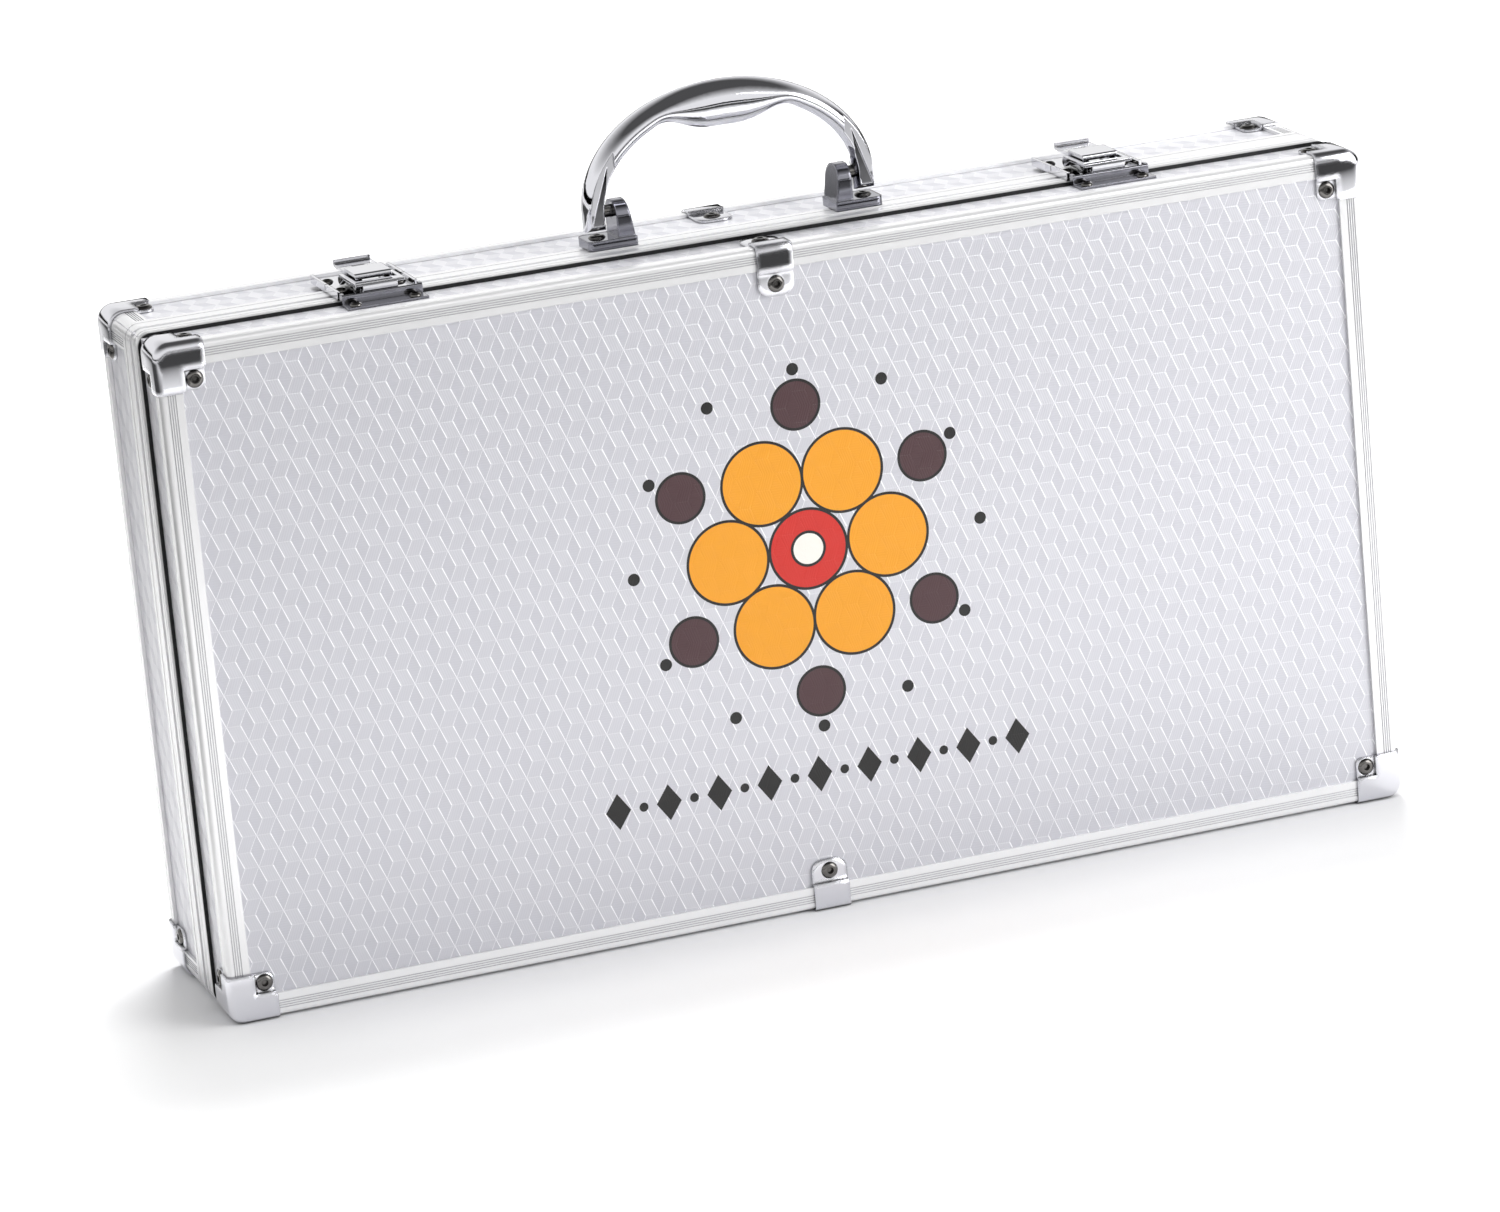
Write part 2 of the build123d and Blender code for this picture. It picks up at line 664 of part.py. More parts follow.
# ---------------------------------------------------------------- carrying handle
def handle_section(angle):
    """Centre, thickness, depth and direction of the grip at an angle round its arch."""
    half_span = handle_span / 2
    arch = handle_height - pivot_height
    outer_x = half_span * cos(angle)
    outer_z = arch * sin(angle)
    slope_x = cos(angle) / half_span
    slope_z = sin(angle) / arch
    length = (slope_x ** 2 + slope_z ** 2) ** 0.5
    normal = (slope_x / length, slope_z / length)
    from_top = abs(angle - pi / 2) / radians(grip_half_angle)
    swell = (1 - from_top ** grip_fullness) ** 2 if from_top < 1 else 0.0
    shoulder = sin(angle)
    neck = leg_thickness + (neck_thickness - leg_thickness) * shoulder
    thickness = neck + (grip_thickness - neck) * swell
    depth = leg_depth + (grip_depth - leg_depth) * shoulder
    centre = (outer_x - normal[0] * thickness / 2, outer_z - normal[1] * thickness / 2)
    return centre, normal, thickness, depth


def leg_end(across):
    """The rounded end of one leg: its section carried down and turned about the pivot."""
    section_plane = Plane(origin=(across * leg_x, handle_y, pivot_z), z_dir=(0, 0, 1))
    with BuildPart() as end:
        with BuildSketch(section_plane) as section:
            Ellipse(leg_thickness / 2, leg_depth / 2)
        extrude(section.sketch, amount=-leg_depth / 2)
        with Locations(Plane(origin=section_plane.origin, z_dir=(1, 0, 0))):
            Cylinder(leg_depth / 2, 2 * leg_thickness, mode=Mode.INTERSECT)
    return end.part


def leg_hollow(across, floor_y, face_sign):
    """The narrow triangle cut into the flat of a leg; its point leans in with the arch."""
    lean = half_span_at(leg_hollow_high) - leg_x
    points = [(leg_x - leg_hollow_half_width, leg_hollow_low),
              (leg_x + leg_hollow_half_width, leg_hollow_low), (leg_x + lean, leg_hollow_high)]
    plane = Plane(origin=(0, floor_y, pivot_z), x_dir=(1, 0, 0), z_dir=(0, -1, 0))
    with BuildSketch(plane) as face:
        with BuildLine():
            Polyline(*[(across * x, z) for x, z in points], close=True)
        make_face()
    return extrude(face.sketch, amount=-face_sign * leg_depth, mode=Mode.PRIVATE)


def half_span_at(height):
    """X of the middle of a leg at a height above the pivot."""
    arch = handle_height - pivot_height
    outer = handle_span / 2 * (1 - (height / arch) ** 2) ** 0.5
    return outer - leg_thickness / 2


bore_depth = leg_thickness - bore_end_wall
with BuildPart() as carry_handle:
    for step in range(section_count + 1):
        centre, normal, thickness, depth = handle_section(pi * step / section_count)
        section_plane = Plane(origin=(centre[0], handle_y, pivot_z + centre[1]),
                              x_dir=(normal[0], 0, normal[1]), z_dir=(-normal[1], 0, normal[0]))
        with BuildSketch(section_plane):
            Ellipse(thickness / 2, depth / 2)
    loft()
    for across in (-1, 1):
        add(leg_end(across))
        flat_top = pivot_z + leg_flat_height
        flat_low = pivot_z - leg_depth
        flat_half = leg_depth / 2 - leg_flat_depth
        for face_sign in (-1, 1):
            wedge = [(handle_y + face_sign * flat_half, flat_low),
                     (handle_y + face_sign * flat_half, pivot_z),
                     (handle_y + face_sign * leg_depth / 2, flat_top),
                     (handle_y + face_sign * leg_depth, flat_top),
                     (handle_y + face_sign * leg_depth, flat_low)]
            add(side_profile(across * leg_x - leg_thickness, 2 * leg_thickness, wedge),
                mode=Mode.SUBTRACT)
            add(leg_hollow(across, handle_y + face_sign * (flat_half - leg_hollow_depth),
                           face_sign), mode=Mode.SUBTRACT)
        bore_x = across * (leg_inner_x + bore_depth / 2 - bore_run_in / 2)
        with Locations(Plane(origin=(bore_x, handle_y, pivot_z), z_dir=(1, 0, 0))):
            Cylinder(handle_pin / 2 + running_clearance, bore_depth + bore_run_in,
                     mode=Mode.SUBTRACT)
save(carry_handle, "carry_handle")

pin_inner_x = ear_outer_x - ear_top_thickness + handle_pin_sink
pin_outer_x = leg_inner_x + bore_depth - pin_end_gap
with BuildPart() as handle_pins:
    for across in (-1, 1):
        pin_x = across * (pin_inner_x + pin_outer_x) / 2
        with Locations(Plane(origin=(pin_x, handle_y, pivot_z), z_dir=(1, 0, 0))):
            Cylinder(handle_pin / 2, pin_outer_x - pin_inner_x)
save(handle_pins, "handle_pins")

for flank, across in MIRRORS.items():
    with BuildPart() as handle_bracket:
        ear_inner_x = ear_outer_x - ear_thickness
        with BuildSketch(Plane(origin=(0, handle_y + ear_depth / 2, top_z), x_dir=(1, 0, 0),
                               z_dir=(0, -1, 0))):
            with BuildLine():
                Polyline((ear_inner_x, 0), (ear_outer_x, 0), (ear_outer_x, ear_height),
                         (ear_outer_x - ear_top_thickness, ear_height), close=True)
            make_face()
        extrude(amount=ear_depth)
        ear_top = handle_bracket.edges().filter_by(Axis.X).group_by(Axis.Z)[-1]
        fillet(ear_top, ear_round)
        keep_box(ear_inner_x, foot_outer_x, handle_y - foot_depth / 2, handle_y + foot_depth / 2,
                 top_z, top_z + foot_thickness, Mode.ADD)
        foot_rim = handle_bracket.edges().filter_by(Axis.Z).group_by(Axis.X)[-1]
        fillet(foot_rim, foot_round)
        bore_start = pin_inner_x - pin_end_gap
        bore_length = ear_outer_x - bore_start + overcut
        with Locations(Plane(origin=(bore_start + bore_length / 2, handle_y, pivot_z),
                             z_dir=(1, 0, 0))):
            Cylinder(handle_pin / 2 + running_clearance, bore_length, mode=Mode.SUBTRACT)
        cut_shank_holes(rivet_places([(foot_rivet_x, handle_y, top_z)], "top"))
        if across < 0:
            mirror(handle_bracket.part, about=Plane.YZ, mode=Mode.REPLACE)
    save(handle_bracket, f"handle_bracket_{flank}")

# ---------------------------------------------------------------- latches
pivot_y = parting_y + lever_pivot_v
pivot_height_z = top_z + lever_pivot_w
hook_pivot_y = pivot_y + hook_pivot_reach
lever_half = lever_width / 2
hook_half = hook_width / 2
window_half = lever_half + hook_side_clearance
plate_half = latch_width / 2
ear_outer = lever_half - lever_wall - latch_ear_gap
boss_radius = lever_pivot_w - latch_plate_wall - latch_boss_gap
hook_boss_radius = boss_radius - hook_boss_step
hook_pivot_v = lever_pivot_v + hook_pivot_reach
block_end = lever_block_front + lever_block_length
tail_bottom = lever_tail_top - lever_wall
rim_start = lever_tail_end - lever_rim_length
hollow_low = lever_pivot_w + boss_radius + hollow_clearance
board_top = top_z - profile_wall


def pin_along_x(centre_x, y, z, radius, length, mode=Mode.ADD):
    """A pin, or with Mode.SUBTRACT a bore, along X."""
    with Locations(Plane(origin=(centre_x, y, z), z_dir=(1, 0, 0))):
        Cylinder(radius, length, mode=mode)


def latch_point(v, w):
    """A point of a latch as (y, z): v behind the parting plane, w above the case."""
    return parting_y + v, top_z + w


lever_outline = [latch_point(*point) for point in (
    (lever_block_front, lever_pivot_w), (lever_block_front, lever_block_top),
    (block_end, lever_block_top), (block_end + lever_shoulder_run, lever_tail_top),
    (lever_tail_end, lever_tail_top), (lever_tail_end, tail_bottom),
    (hook_pivot_v + lever_web_reach, tail_bottom),
    (hook_pivot_v + lever_web_toe, lever_pivot_w - lever_web_drop),
    (hook_pivot_v, lever_pivot_w - hook_boss_radius),
    (lever_pivot_v, lever_pivot_w - boss_radius))]
lever_hollow = [latch_point(*point) for point in (
    (lever_block_front - hollow_front, -lever_wall),
    (lever_block_front - hollow_front, hollow_low),
    (lever_block_front + lever_wall, hollow_low),
    (lever_block_front + lever_wall, lever_block_top - lever_wall),
    (block_end - hollow_wall_near, lever_block_top - lever_wall),
    (block_end + hollow_wall_far, tail_bottom),
    (rim_start, tail_bottom), (rim_start, -lever_wall))]
hook_outline = [latch_point(*point) for point in (
    (hook_front, hook_top - hook_wall), (hook_front, hook_top), (hook_pivot_v, hook_top),
    (hook_pivot_v + hook_boss_radius, lever_pivot_w),
    (hook_pivot_v, lever_pivot_w - hook_boss_radius),
    (lever_pivot_v + hook_pivot_reach / 2, hook_top - hook_wall))]

for flank, across in MIRRORS.items():
    centre = across * latch_x
    with BuildPart() as latch_plate:
        plate_start = parting_y + latch_plate_start
        plate_end = plate_start + latch_plate_length
        keep_box(centre - plate_half, centre + plate_half, plate_start, plate_end, top_z,
                 top_z + latch_plate_wall, Mode.ADD)
        for flange in (-1, 1):
            wall_x = centre + flange * (plate_half - latch_plate_wall / 2)
            keep_box(wall_x - latch_plate_wall / 2, wall_x + latch_plate_wall / 2, plate_start,
                     plate_end, top_z + latch_plate_wall, top_z + latch_flange_height, Mode.ADD)
            seat_x = centre + flange * plate_rivet_u
            with Locations((seat_x, parting_y + plate_rivet_vs[1], top_z - profile_wall / 2)):
                Cylinder(small_rivet_head / 2 + plate_seat_margin, profile_wall)
            ear_x = centre + flange * (ear_outer - latch_ear_wall / 2)
            keep_box(ear_x - latch_ear_wall / 2, ear_x + latch_ear_wall / 2, pivot_y - boss_radius,
                     pivot_y + boss_radius, top_z, pivot_height_z, Mode.ADD)
            pin_along_x(ear_x, pivot_y, pivot_height_z, boss_radius, latch_ear_wall)
        split_y = parting_y + latch_flange_split
        keep_box(centre - plate_half - overcut, centre + plate_half + overcut, split_y,
                 split_y + latch_flange_gap, top_z + latch_plate_wall,
                 top_z + latch_flange_height + overcut, Mode.SUBTRACT)
        pin_along_x(centre, pivot_y, pivot_height_z, latch_pin / 2 + running_clearance,
                    lever_width, Mode.SUBTRACT)
        places = [(centre + flange * plate_rivet_u, parting_y + rivet_v, top_z)
                  for flange in (-1, 1) for rivet_v in plate_rivet_vs]
        cut_shank_holes(rivet_places(places, "top"))
    save(latch_plate, f"latch_plate_{flank}")

    with BuildPart() as latch_lever:
        add(side_profile(centre - lever_half, lever_width, lever_outline))
        front_top = latch_lever.edges().filter_by(Axis.X).group_by(Axis.Z)[-1].sort_by(Axis.Y)[0]
        fillet(front_top, lever_block_round)
        pin_along_x(centre, pivot_y, pivot_height_z, boss_radius, lever_width)
        pin_along_x(centre, hook_pivot_y, pivot_height_z, hook_boss_radius, lever_width)
        hollow_half = lever_half - lever_wall
        add(side_profile(centre - hollow_half, 2 * hollow_half, lever_hollow),
            mode=Mode.SUBTRACT)
        curl_y, curl_z = latch_point(lever_tail_end, lever_tail_top + lever_curl_radius
                                     - lever_wall)
        curl_plane = Plane(origin=(centre - lever_half, 0, 0), x_dir=(0, 1, 0), z_dir=(1, 0, 0))
        with BuildSketch(curl_plane) as curl:
            with Locations((curl_y, curl_z)):
                Circle(lever_curl_radius)
                Circle(lever_curl_radius - lever_wall, mode=Mode.SUBTRACT)
            with Locations((curl_y - lever_curl_radius, curl_z)):
                Rectangle(2 * lever_curl_radius, 4 * lever_curl_radius, mode=Mode.SUBTRACT)
        extrude(curl.sketch, amount=lever_width)
        slot_y, slot_z = latch_point(block_end + slot_start, lever_tail_top)
        keep_box(centre - slot_half_width, centre + slot_half_width, slot_y,
                 slot_y + slot_length, slot_z - slot_depth, slot_z + overcut, Mode.SUBTRACT)
        for bore_y in (pivot_y, hook_pivot_y):
            pin_along_x(centre, bore_y, pivot_height_z, latch_pin / 2 + running_clearance,
                        lever_width + overcut, Mode.SUBTRACT)
    save(latch_lever, f"latch_lever_{flank}")

    with BuildPart() as latch_hook:
        add(side_profile(centre - hook_half, hook_width, hook_outline))
        pin_along_x(centre, hook_pivot_y, pivot_height_z, hook_boss_radius, hook_width)
        window_y = parting_y + hook_window_front
        keep_box(centre - window_half, centre + window_half, window_y,
                 window_y + hook_window_length, top_z - hook_window_low,
                 top_z + hook_window_high, Mode.SUBTRACT)
        lip_y = parting_y + hook_front
        lip_half = window_half - hook_lip_inset
        keep_box(centre - lip_half, centre + lip_half, lip_y, lip_y + hook_lip_wall,
                 top_z + hook_lip_bottom, top_z + hook_top - hook_wall, Mode.ADD)
        pin_along_x(centre, hook_pivot_y, pivot_height_z, latch_pin / 2, hook_width)
    save(latch_hook, f"latch_hook_{flank}")

    with BuildPart() as latch_keeper:
        lip_front = parting_y + hook_front
        lip_rear = lip_front + hook_lip_wall
        catch_y = lip_rear + catch_gap
        roll_y = lip_front - roll_gap
        keep_box(centre - plate_half, centre + plate_half, parting_y + keeper_front, catch_y + catch_wall,
                 board_top, board_top + keeper_wall, Mode.ADD)
        keep_box(centre - lip_half, centre + lip_half, catch_y, catch_y + catch_wall,
                 board_top, top_z + catch_top, Mode.ADD)
        roll_half = roll_wall / 2
        keep_box(centre - plate_half, centre + plate_half, roll_y - roll_wall, roll_y, board_top,
                 top_z + roll_top - roll_half, Mode.ADD)
        pin_along_x(centre, roll_y - roll_half, top_z + roll_top - roll_half, roll_half,
                    latch_width)
        for flange in (-1, 1):
            wall_x = centre + flange * (plate_half - latch_plate_wall / 2)
            keep_box(wall_x - latch_plate_wall / 2, wall_x + latch_plate_wall / 2,
                     roll_y - roll_half, catch_y + catch_wall, board_top,
                     top_z + latch_flange_height, Mode.ADD)
        places = [(centre + flange * plate_rivet_u, parting_y + keeper_rivet_v, top_z)
                  for flange in (-1, 1)]
        cut_shank_holes(rivet_places(places, "top"))
    save(latch_keeper, f"latch_keeper_{flank}")

with BuildPart() as lever_pins:
    for across in (-1, 1):
        pin_along_x(across * latch_x, pivot_y, pivot_height_z, latch_pin / 2,
                    lever_width + hook_side_clearance)
save(lever_pins, "latch_lever_pins")

# ---------------------------------------------------------------- hinges
knuckle_pitch = hinge_width / knuckle_count
lid_joggle = profile_wall
base_leaf_outline = [(parting_y + leaf_start, 0), (parting_y + leaf_start, leaf_wall),
                     (parting_y + leaf_length, leaf_wall), (parting_y + leaf_length, 0)]
lid_leaf_outline = [(parting_y - leaf_start, 0), (parting_y - leaf_joggle_start, 0),
                    (parting_y - leaf_joggle_end, lid_joggle), (parting_y - leaf_length, lid_joggle),
                    (parting_y - leaf_length, lid_joggle + leaf_wall),
                    (parting_y - leaf_joggle_end, lid_joggle + leaf_wall),
                    (parting_y - leaf_joggle_start, leaf_wall), (parting_y - leaf_start, leaf_wall)]
for shell, facing in SHELLS.items():
    outline = base_leaf_outline if facing > 0 else lid_leaf_outline
    leaf_rivets = base_leaf_rivets if facing > 0 else lid_leaf_rivets
    first_knuckle = 0 if facing > 0 else 1
    for flank, across in MIRRORS.items():
        centre = across * hinge_x
        with BuildPart() as hinge_leaf:
            add(side_profile(centre - hinge_width / 2, hinge_width, outline))
            for knuckle in range(first_knuckle, knuckle_count, 2):
                knuckle_x = centre + (knuckle - (knuckle_count - 1) / 2) * knuckle_pitch
                knuckle_half = (knuckle_pitch - knuckle_gap) / 2
                pin_along_x(knuckle_x, parting_y, hinge_z, knuckle_radius, 2 * knuckle_half)
                finger_ends = sorted((parting_y, parting_y + facing * leaf_start))
                keep_box(knuckle_x - knuckle_half, knuckle_x + knuckle_half, finger_ends[0],
                         finger_ends[1], 0, leaf_wall, Mode.ADD)
            pin_along_x(centre, parting_y, hinge_z, hinge_pin / 2 + running_clearance,
                        hinge_width + overcut, Mode.SUBTRACT)
            near_side = [place for place in leaf_rivets if place[0] * across > 0]
            cut_shank_holes(rivet_places(near_side, "bottom"))
            if facing > 0:
                with Locations(*[(x, y, flush_head / 2) for x, y, z in near_side]):
                    Cylinder(small_rivet_head / 2 + rivet_clearance, flush_head,
                             mode=Mode.SUBTRACT)
        save(hinge_leaf, f"hinge_leaf_{shell}_{flank}")

with BuildPart() as hinge_pins:
    for across in (-1, 1):
        pin_along_x(across * hinge_x, parting_y, hinge_z, hinge_pin / 2, hinge_width)
save(hinge_pins, "hinge_pins")

# ---------------------------------------------------------------- linings and tile tray
lining_floor_y = board_face_y - lining_clearance - pad_thickness
for shell, facing in SHELLS.items():
    frame_edge = web_end + closing_inner_flange + lining_rim_gap
    near_y = facing * (board_face_y - lining_clearance)
    rim_y = parting_y + facing * frame_edge
    with BuildPart() as lining:
        ends = sorted((near_y, rim_y))
        layer(board_inner + lining_clearance, lining_inner, ends[0], ends[1])
        ends = sorted((near_y, facing * lining_floor_y))
        layer(board_inner + lining_clearance, None, ends[0], ends[1])
    save(lining, f"{shell}_lining")

tray_inset = lining_inner + tray_clearance
tray_back_y = lining_floor_y - tray_floor_clearance
tray_front_y = parting_y + tray_rim
tray_left = -half_width + tray_inset + tray_wall
tray_right = -tray_left
well_depth_y = tray_back_y - tray_floor
row_bottom = bottom_z + tray_inset + tray_wall
with BuildPart() as tile_tray:
    layer(tray_inset, None, tray_front_y, tray_back_y)
    for row in range(tile_rows):
        low = row_bottom + row * (tile_row_height + tray_divider)
        keep_box(tray_left, tray_right, tray_front_y, well_depth_y, low,
                 low + tile_row_height, Mode.SUBTRACT)
    accessory_low = row_bottom + tile_rows * (tile_row_height + tray_divider)
    accessory_high = top_z - tray_inset - tray_wall
    left_edge = tray_left
    widths = list(accessory_splits)
    widths.append(tray_right - tray_left - sum(widths) - tray_divider * len(widths))
    for width in widths:
        keep_box(left_edge, left_edge + width, tray_front_y, well_depth_y, accessory_low,
                 accessory_high, Mode.SUBTRACT)
        left_edge += width + tray_divider
save(tile_tray, "tile_tray")
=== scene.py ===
"""Looks of an upright mahjong case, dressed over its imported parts.

Metres, +Z up, the lid faces -Y. Sizes of the case are written in millimetres and turned to
metres by MM. The ornament is drawn in plain millimetres, and the studio is in metres.
"""
import json
from math import cos, pi, radians, sin

import bmesh
import bpy
from mathutils import Matrix, Vector


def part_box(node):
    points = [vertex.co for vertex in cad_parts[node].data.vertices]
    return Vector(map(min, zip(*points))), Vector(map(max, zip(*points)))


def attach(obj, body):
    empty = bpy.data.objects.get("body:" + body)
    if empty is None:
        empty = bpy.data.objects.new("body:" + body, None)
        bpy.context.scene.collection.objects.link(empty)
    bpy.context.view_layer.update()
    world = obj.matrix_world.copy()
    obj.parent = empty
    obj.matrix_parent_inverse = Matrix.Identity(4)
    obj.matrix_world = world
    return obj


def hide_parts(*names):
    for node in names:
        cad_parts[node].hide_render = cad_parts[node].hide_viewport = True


MM = 0.001

# ---------------------------------------------------------------- camera
camera_azimuth = radians(-18.239)     # from straight in front, to the left
camera_elevation = radians(15.351)
camera_roll = radians(-5.345)
camera_distance = 2145.3 * MM
camera_target = Vector((-7.003, 0.0, 94.107)) * MM
camera_sight = 100.0                  # how far the camera sees
sensor_width = 36.0
image_width = 1500
focal_pixels = 6678.6                 # focal length, in pixels of that image width

# ---------------------------------------------------------------- emboss of the boards
column_pitch = 6.8 * MM
row_pitch = 10.2 * MM
sheet_turn = radians(-2.0)            # the foil is laid a little askew
spare_cells = 3                       # laid past a board's rim before it is trimmed
diamond_half_width = 2.3 * MM
rim_width = 0.24 * MM                 # sloped rim round each facet
groove_depth = 0.05 * MM
facet_lean = 0.010                    # slope of the side facets
ruling_slant = 0.35                   # slope of the side facets' ruling
hatch_pitch = 0.8                     # mm; drawn coarser than the foil's own ruling, so that it shows
hatch_strength = 0.3
hatch_depth = 0.03 * MM
diamond_shade = 1.0                   # painted shade: 0 is the side facets' tone and 1 the diamonds'
upper_shade = 0.0
lower_shade = 0.5
# painted highlight along the facets' rims, by the way a rim runs
painted_highlight_level = 0.95
level_painted_highlight = 0.15                    # of rims that run across the board
falling_painted_highlight = 1.0                   # of rims that fall to the right
side_rising_painted_highlight = 0.8               # of rims that rise to the right, round a side facet
diamond_rising_painted_highlight = 0.1            # and round a diamond
foil_metallic = 0.3
foil_roughness = 0.34

# ---------------------------------------------------------------- mesh work
weld_reach = 0.001 * MM               # points nearer than this become one
cell_weld_reach = 0.002 * MM
cut_reach = 0.0001 * MM
flat_angle = radians(1)               # faces that meet flatter than this become one
sharp_angle = radians(50)             # edges sharper than this are rolled over
rolled_edge = 0.3 * MM
rolled_segments = 2
rolled_profile = 0.5                  # a quarter circle

# ---------------------------------------------------------------- metal: grain, edges and painted shade in seams
anodised_metallic = 0.40
noise_detail = 2.0
bevel_samples = 8
piece_middle = (0.5, 0.5, 0.5)        # of Generated, which runs from 0 to 1 over a piece
draw_stretch = 0.02                   # draw lines are 50 times as long as wide
rolling_stretch = 0.08
crevice_full = 0.25                   # open share of the view at which the painted shade is full
crevice_none = 0.75
crevice_samples = 8
seam_y = -12.5 * MM                   # the lid's side of the gap between lid and base
seam_reach = 1.25 * MM                # how far from it the metal is painted dark as shade, both ways
seam_fade = 0.2 * MM

# ---------------------------------------------------------------- ornament on the lid, in mm
ornament_centre = (3.0, 119.0)        # X and Z
petal_count = 6
petal_ring = 27.0
petal_radius = 13.0
leaf_ring = 47.0
leaf_radius = 7.5
heart_radius = 12.5
seed_radius = 5.0
dot_count = 12
dot_ring = 58.5
dot_radius = 2.0
outline_width = 0.9
border_centre = (0.0, 45.0)
border_half_length = 74.0
border_pitch = 17.0
lozenge_half_height = 6.0
lozenge_half_width = 4.2
bead_radius = 1.5
black_ink = "#141212"

# ---------------------------------------------------------------- lamps, in metres and watts
lamp_aim = (0.0, 0.0, 0.12)
key_power = 19.0
key_size = 1.2
key_place = (1.15, -1.00, 0.62)
top_power = 16.5
top_size = 0.5
top_place = (0.2, 0.55, 1.5)
fill_power = 1.5
fill_size = 1.5
fill_place = (-1.5, -1.4, 1.0)

# ---------------------------------------------------------------- room seen in reflections
ambient_level = 0.40                  # of the soft light that the room gives
wall_top = 0.40                       # heights are sines of the angle above the horizon
ceiling_start = 0.85
ceiling_lean = 0.12                   # the ceiling comes lower behind the case
ceiling_level = 0.09
horizon_z = 0.015
horizon_reach = 0.045
horizon_fade = 0.02
right_flag_start = 0.78               # sines towards +X; outlines what curves away on the right
right_flag_full = 0.92
right_flag_level = 0.06

# ---------------------------------------------------------------- floor, in metres
floor_half = 6.0
near_lift = 0.24                      # lifts the floor towards white where it is looked at
far_lift = 0.55
near_reach = 0.20
far_reach = 0.6
contact_reach = 45 * MM               # how far the painted contact shadow reaches round the case
contact_full = 0.5                    # open share of the view where the painted contact shadow is darkest
contact_samples = 16
card_middle = 0.5                     # of the UV map, which runs from 0 to 1
card_core = 0.30                      # share of a card, from its middle, that is dark
card_level = 0.07
table_cards = {"table_front": (3.0, 1.3, (0.6, -1.86, 0.001)),   # half sizes and place
               "table_left": (0.8, 1.6, (-1.12, 0.75, 0.002)),
               "table_rear": (2.4, 1.4, (1.9, 2.25, 0.001))}


# ---------------------------------------------------------------- colour, nodes and objects
def linear(code):
    """An sRGB hex colour as linear red, green, blue and alpha."""
    channels = [int(code[i:i + 2], 16) / 255 for i in (1, 3, 5)]
    return tuple(c / 12.92 if c <= 0.04045 else ((c + 0.055) / 1.055) ** 2.4
                 for c in channels) + (1.0,)


def add_node(tree, kind, inputs=(), **settings):
    """A node with its settings; its inputs are in the node's order, or a dict by name.

    Each is a value, a socket to link from, or a node whose first output in use is linked.
    """
    made = tree.nodes.new(kind)
    for name, value in settings.items():
        setattr(made, name, value)
    for name, value in inputs.items() if isinstance(inputs, dict) else enumerate(inputs):
        if isinstance(value, bpy.types.Node):
            value = next(output for output in value.outputs if output.enabled)
        if isinstance(value, bpy.types.NodeSocket):
            tree.links.new(value, made.inputs[name])
        else:
            made.inputs[name].default_value = value
    return made


def blank_material(name):
    """A material with an empty node tree."""
    made = bpy.data.materials.new(name)
    made.use_nodes = True
    made.node_tree.nodes.clear()
    return made


def surface(name, inputs, build):
    """A material with one Principled shader; build(tree, shader) adds its pattern."""
    made = blank_material(name)
    tree = made.node_tree
    shader = add_node(tree, "ShaderNodeBsdfPrincipled", inputs)
    build(tree, shader)
    add_node(tree, "ShaderNodeOutputMaterial", {"Surface": shader})
    return made


def add_object(name, data):
    """A new object in the scene that shows the data."""
    made = bpy.data.objects.new(name, data)
    bpy.context.scene.collection.objects.link(made)
    return made


def grain(tree, shader, feature, strength, depth, roughness, spread, stretch=(1, 1, 1),
          edge_round=0.0, crown=0.0):
    """Bump and roughness from one noise, over rounded edges and crowned faces.

    Feature is the size of one grain and depth its height. Crown is how far the normal leans at
    the rim of a piece.
    """
    place = add_node(tree, "ShaderNodeTexCoord")
    placed = add_node(tree, "ShaderNodeMapping", {"Vector": place.outputs["Object"],
                                                  "Scale": stretch})
    noise = add_node(tree, "ShaderNodeTexNoise", {"Vector": placed, "Scale": 1 / feature,
                                                  "Detail": noise_detail})
    rounded = add_node(tree, "ShaderNodeBevel", {"Radius": edge_round}, samples=bevel_samples)
    lean = add_node(tree, "ShaderNodeVectorMath", (place.outputs["Generated"], piece_middle),
                    operation="SUBTRACT")
    crowned = add_node(tree, "ShaderNodeVectorMath", (lean, (crown,) * 3, rounded),
                       operation="MULTIPLY_ADD")
    unit = add_node(tree, "ShaderNodeVectorMath", (crowned,), operation="NORMALIZE")
    bump = add_node(tree, "ShaderNodeBump", {"Height": noise.outputs["Fac"],
                                             "Strength": strength, "Distance": depth,
                                             "Normal": unit})
    rough = add_node(tree, "ShaderNodeMapRange", {"Value": noise.outputs["Fac"],
                                                  "To Min": roughness - spread,
                                                  "To Max": roughness + spread})
    tree.links.new(bump.outputs[0], shader.inputs["Normal"])
    tree.links.new(rough.outputs[0], shader.inputs["Roughness"])


def painted_crevice_shade(tree, bright, dark, reach):
    """Painted shade that darkens the metal's colour in seams and round rivets."""
    nearby = add_node(tree, "ShaderNodeAmbientOcclusion", {"Distance": reach},
                      samples=crevice_samples)
    open_share = add_node(tree, "ShaderNodeMapRange", {"Value": nearby.outputs["AO"],
                                                       "From Min": crevice_full,
                                                       "From Max": crevice_none})
    mixed = add_node(tree, "ShaderNodeMix", {"Factor": open_share, "A": linear(dark),
                                             "B": linear(bright)}, data_type="RGBA")
    return mixed.outputs["Result"]


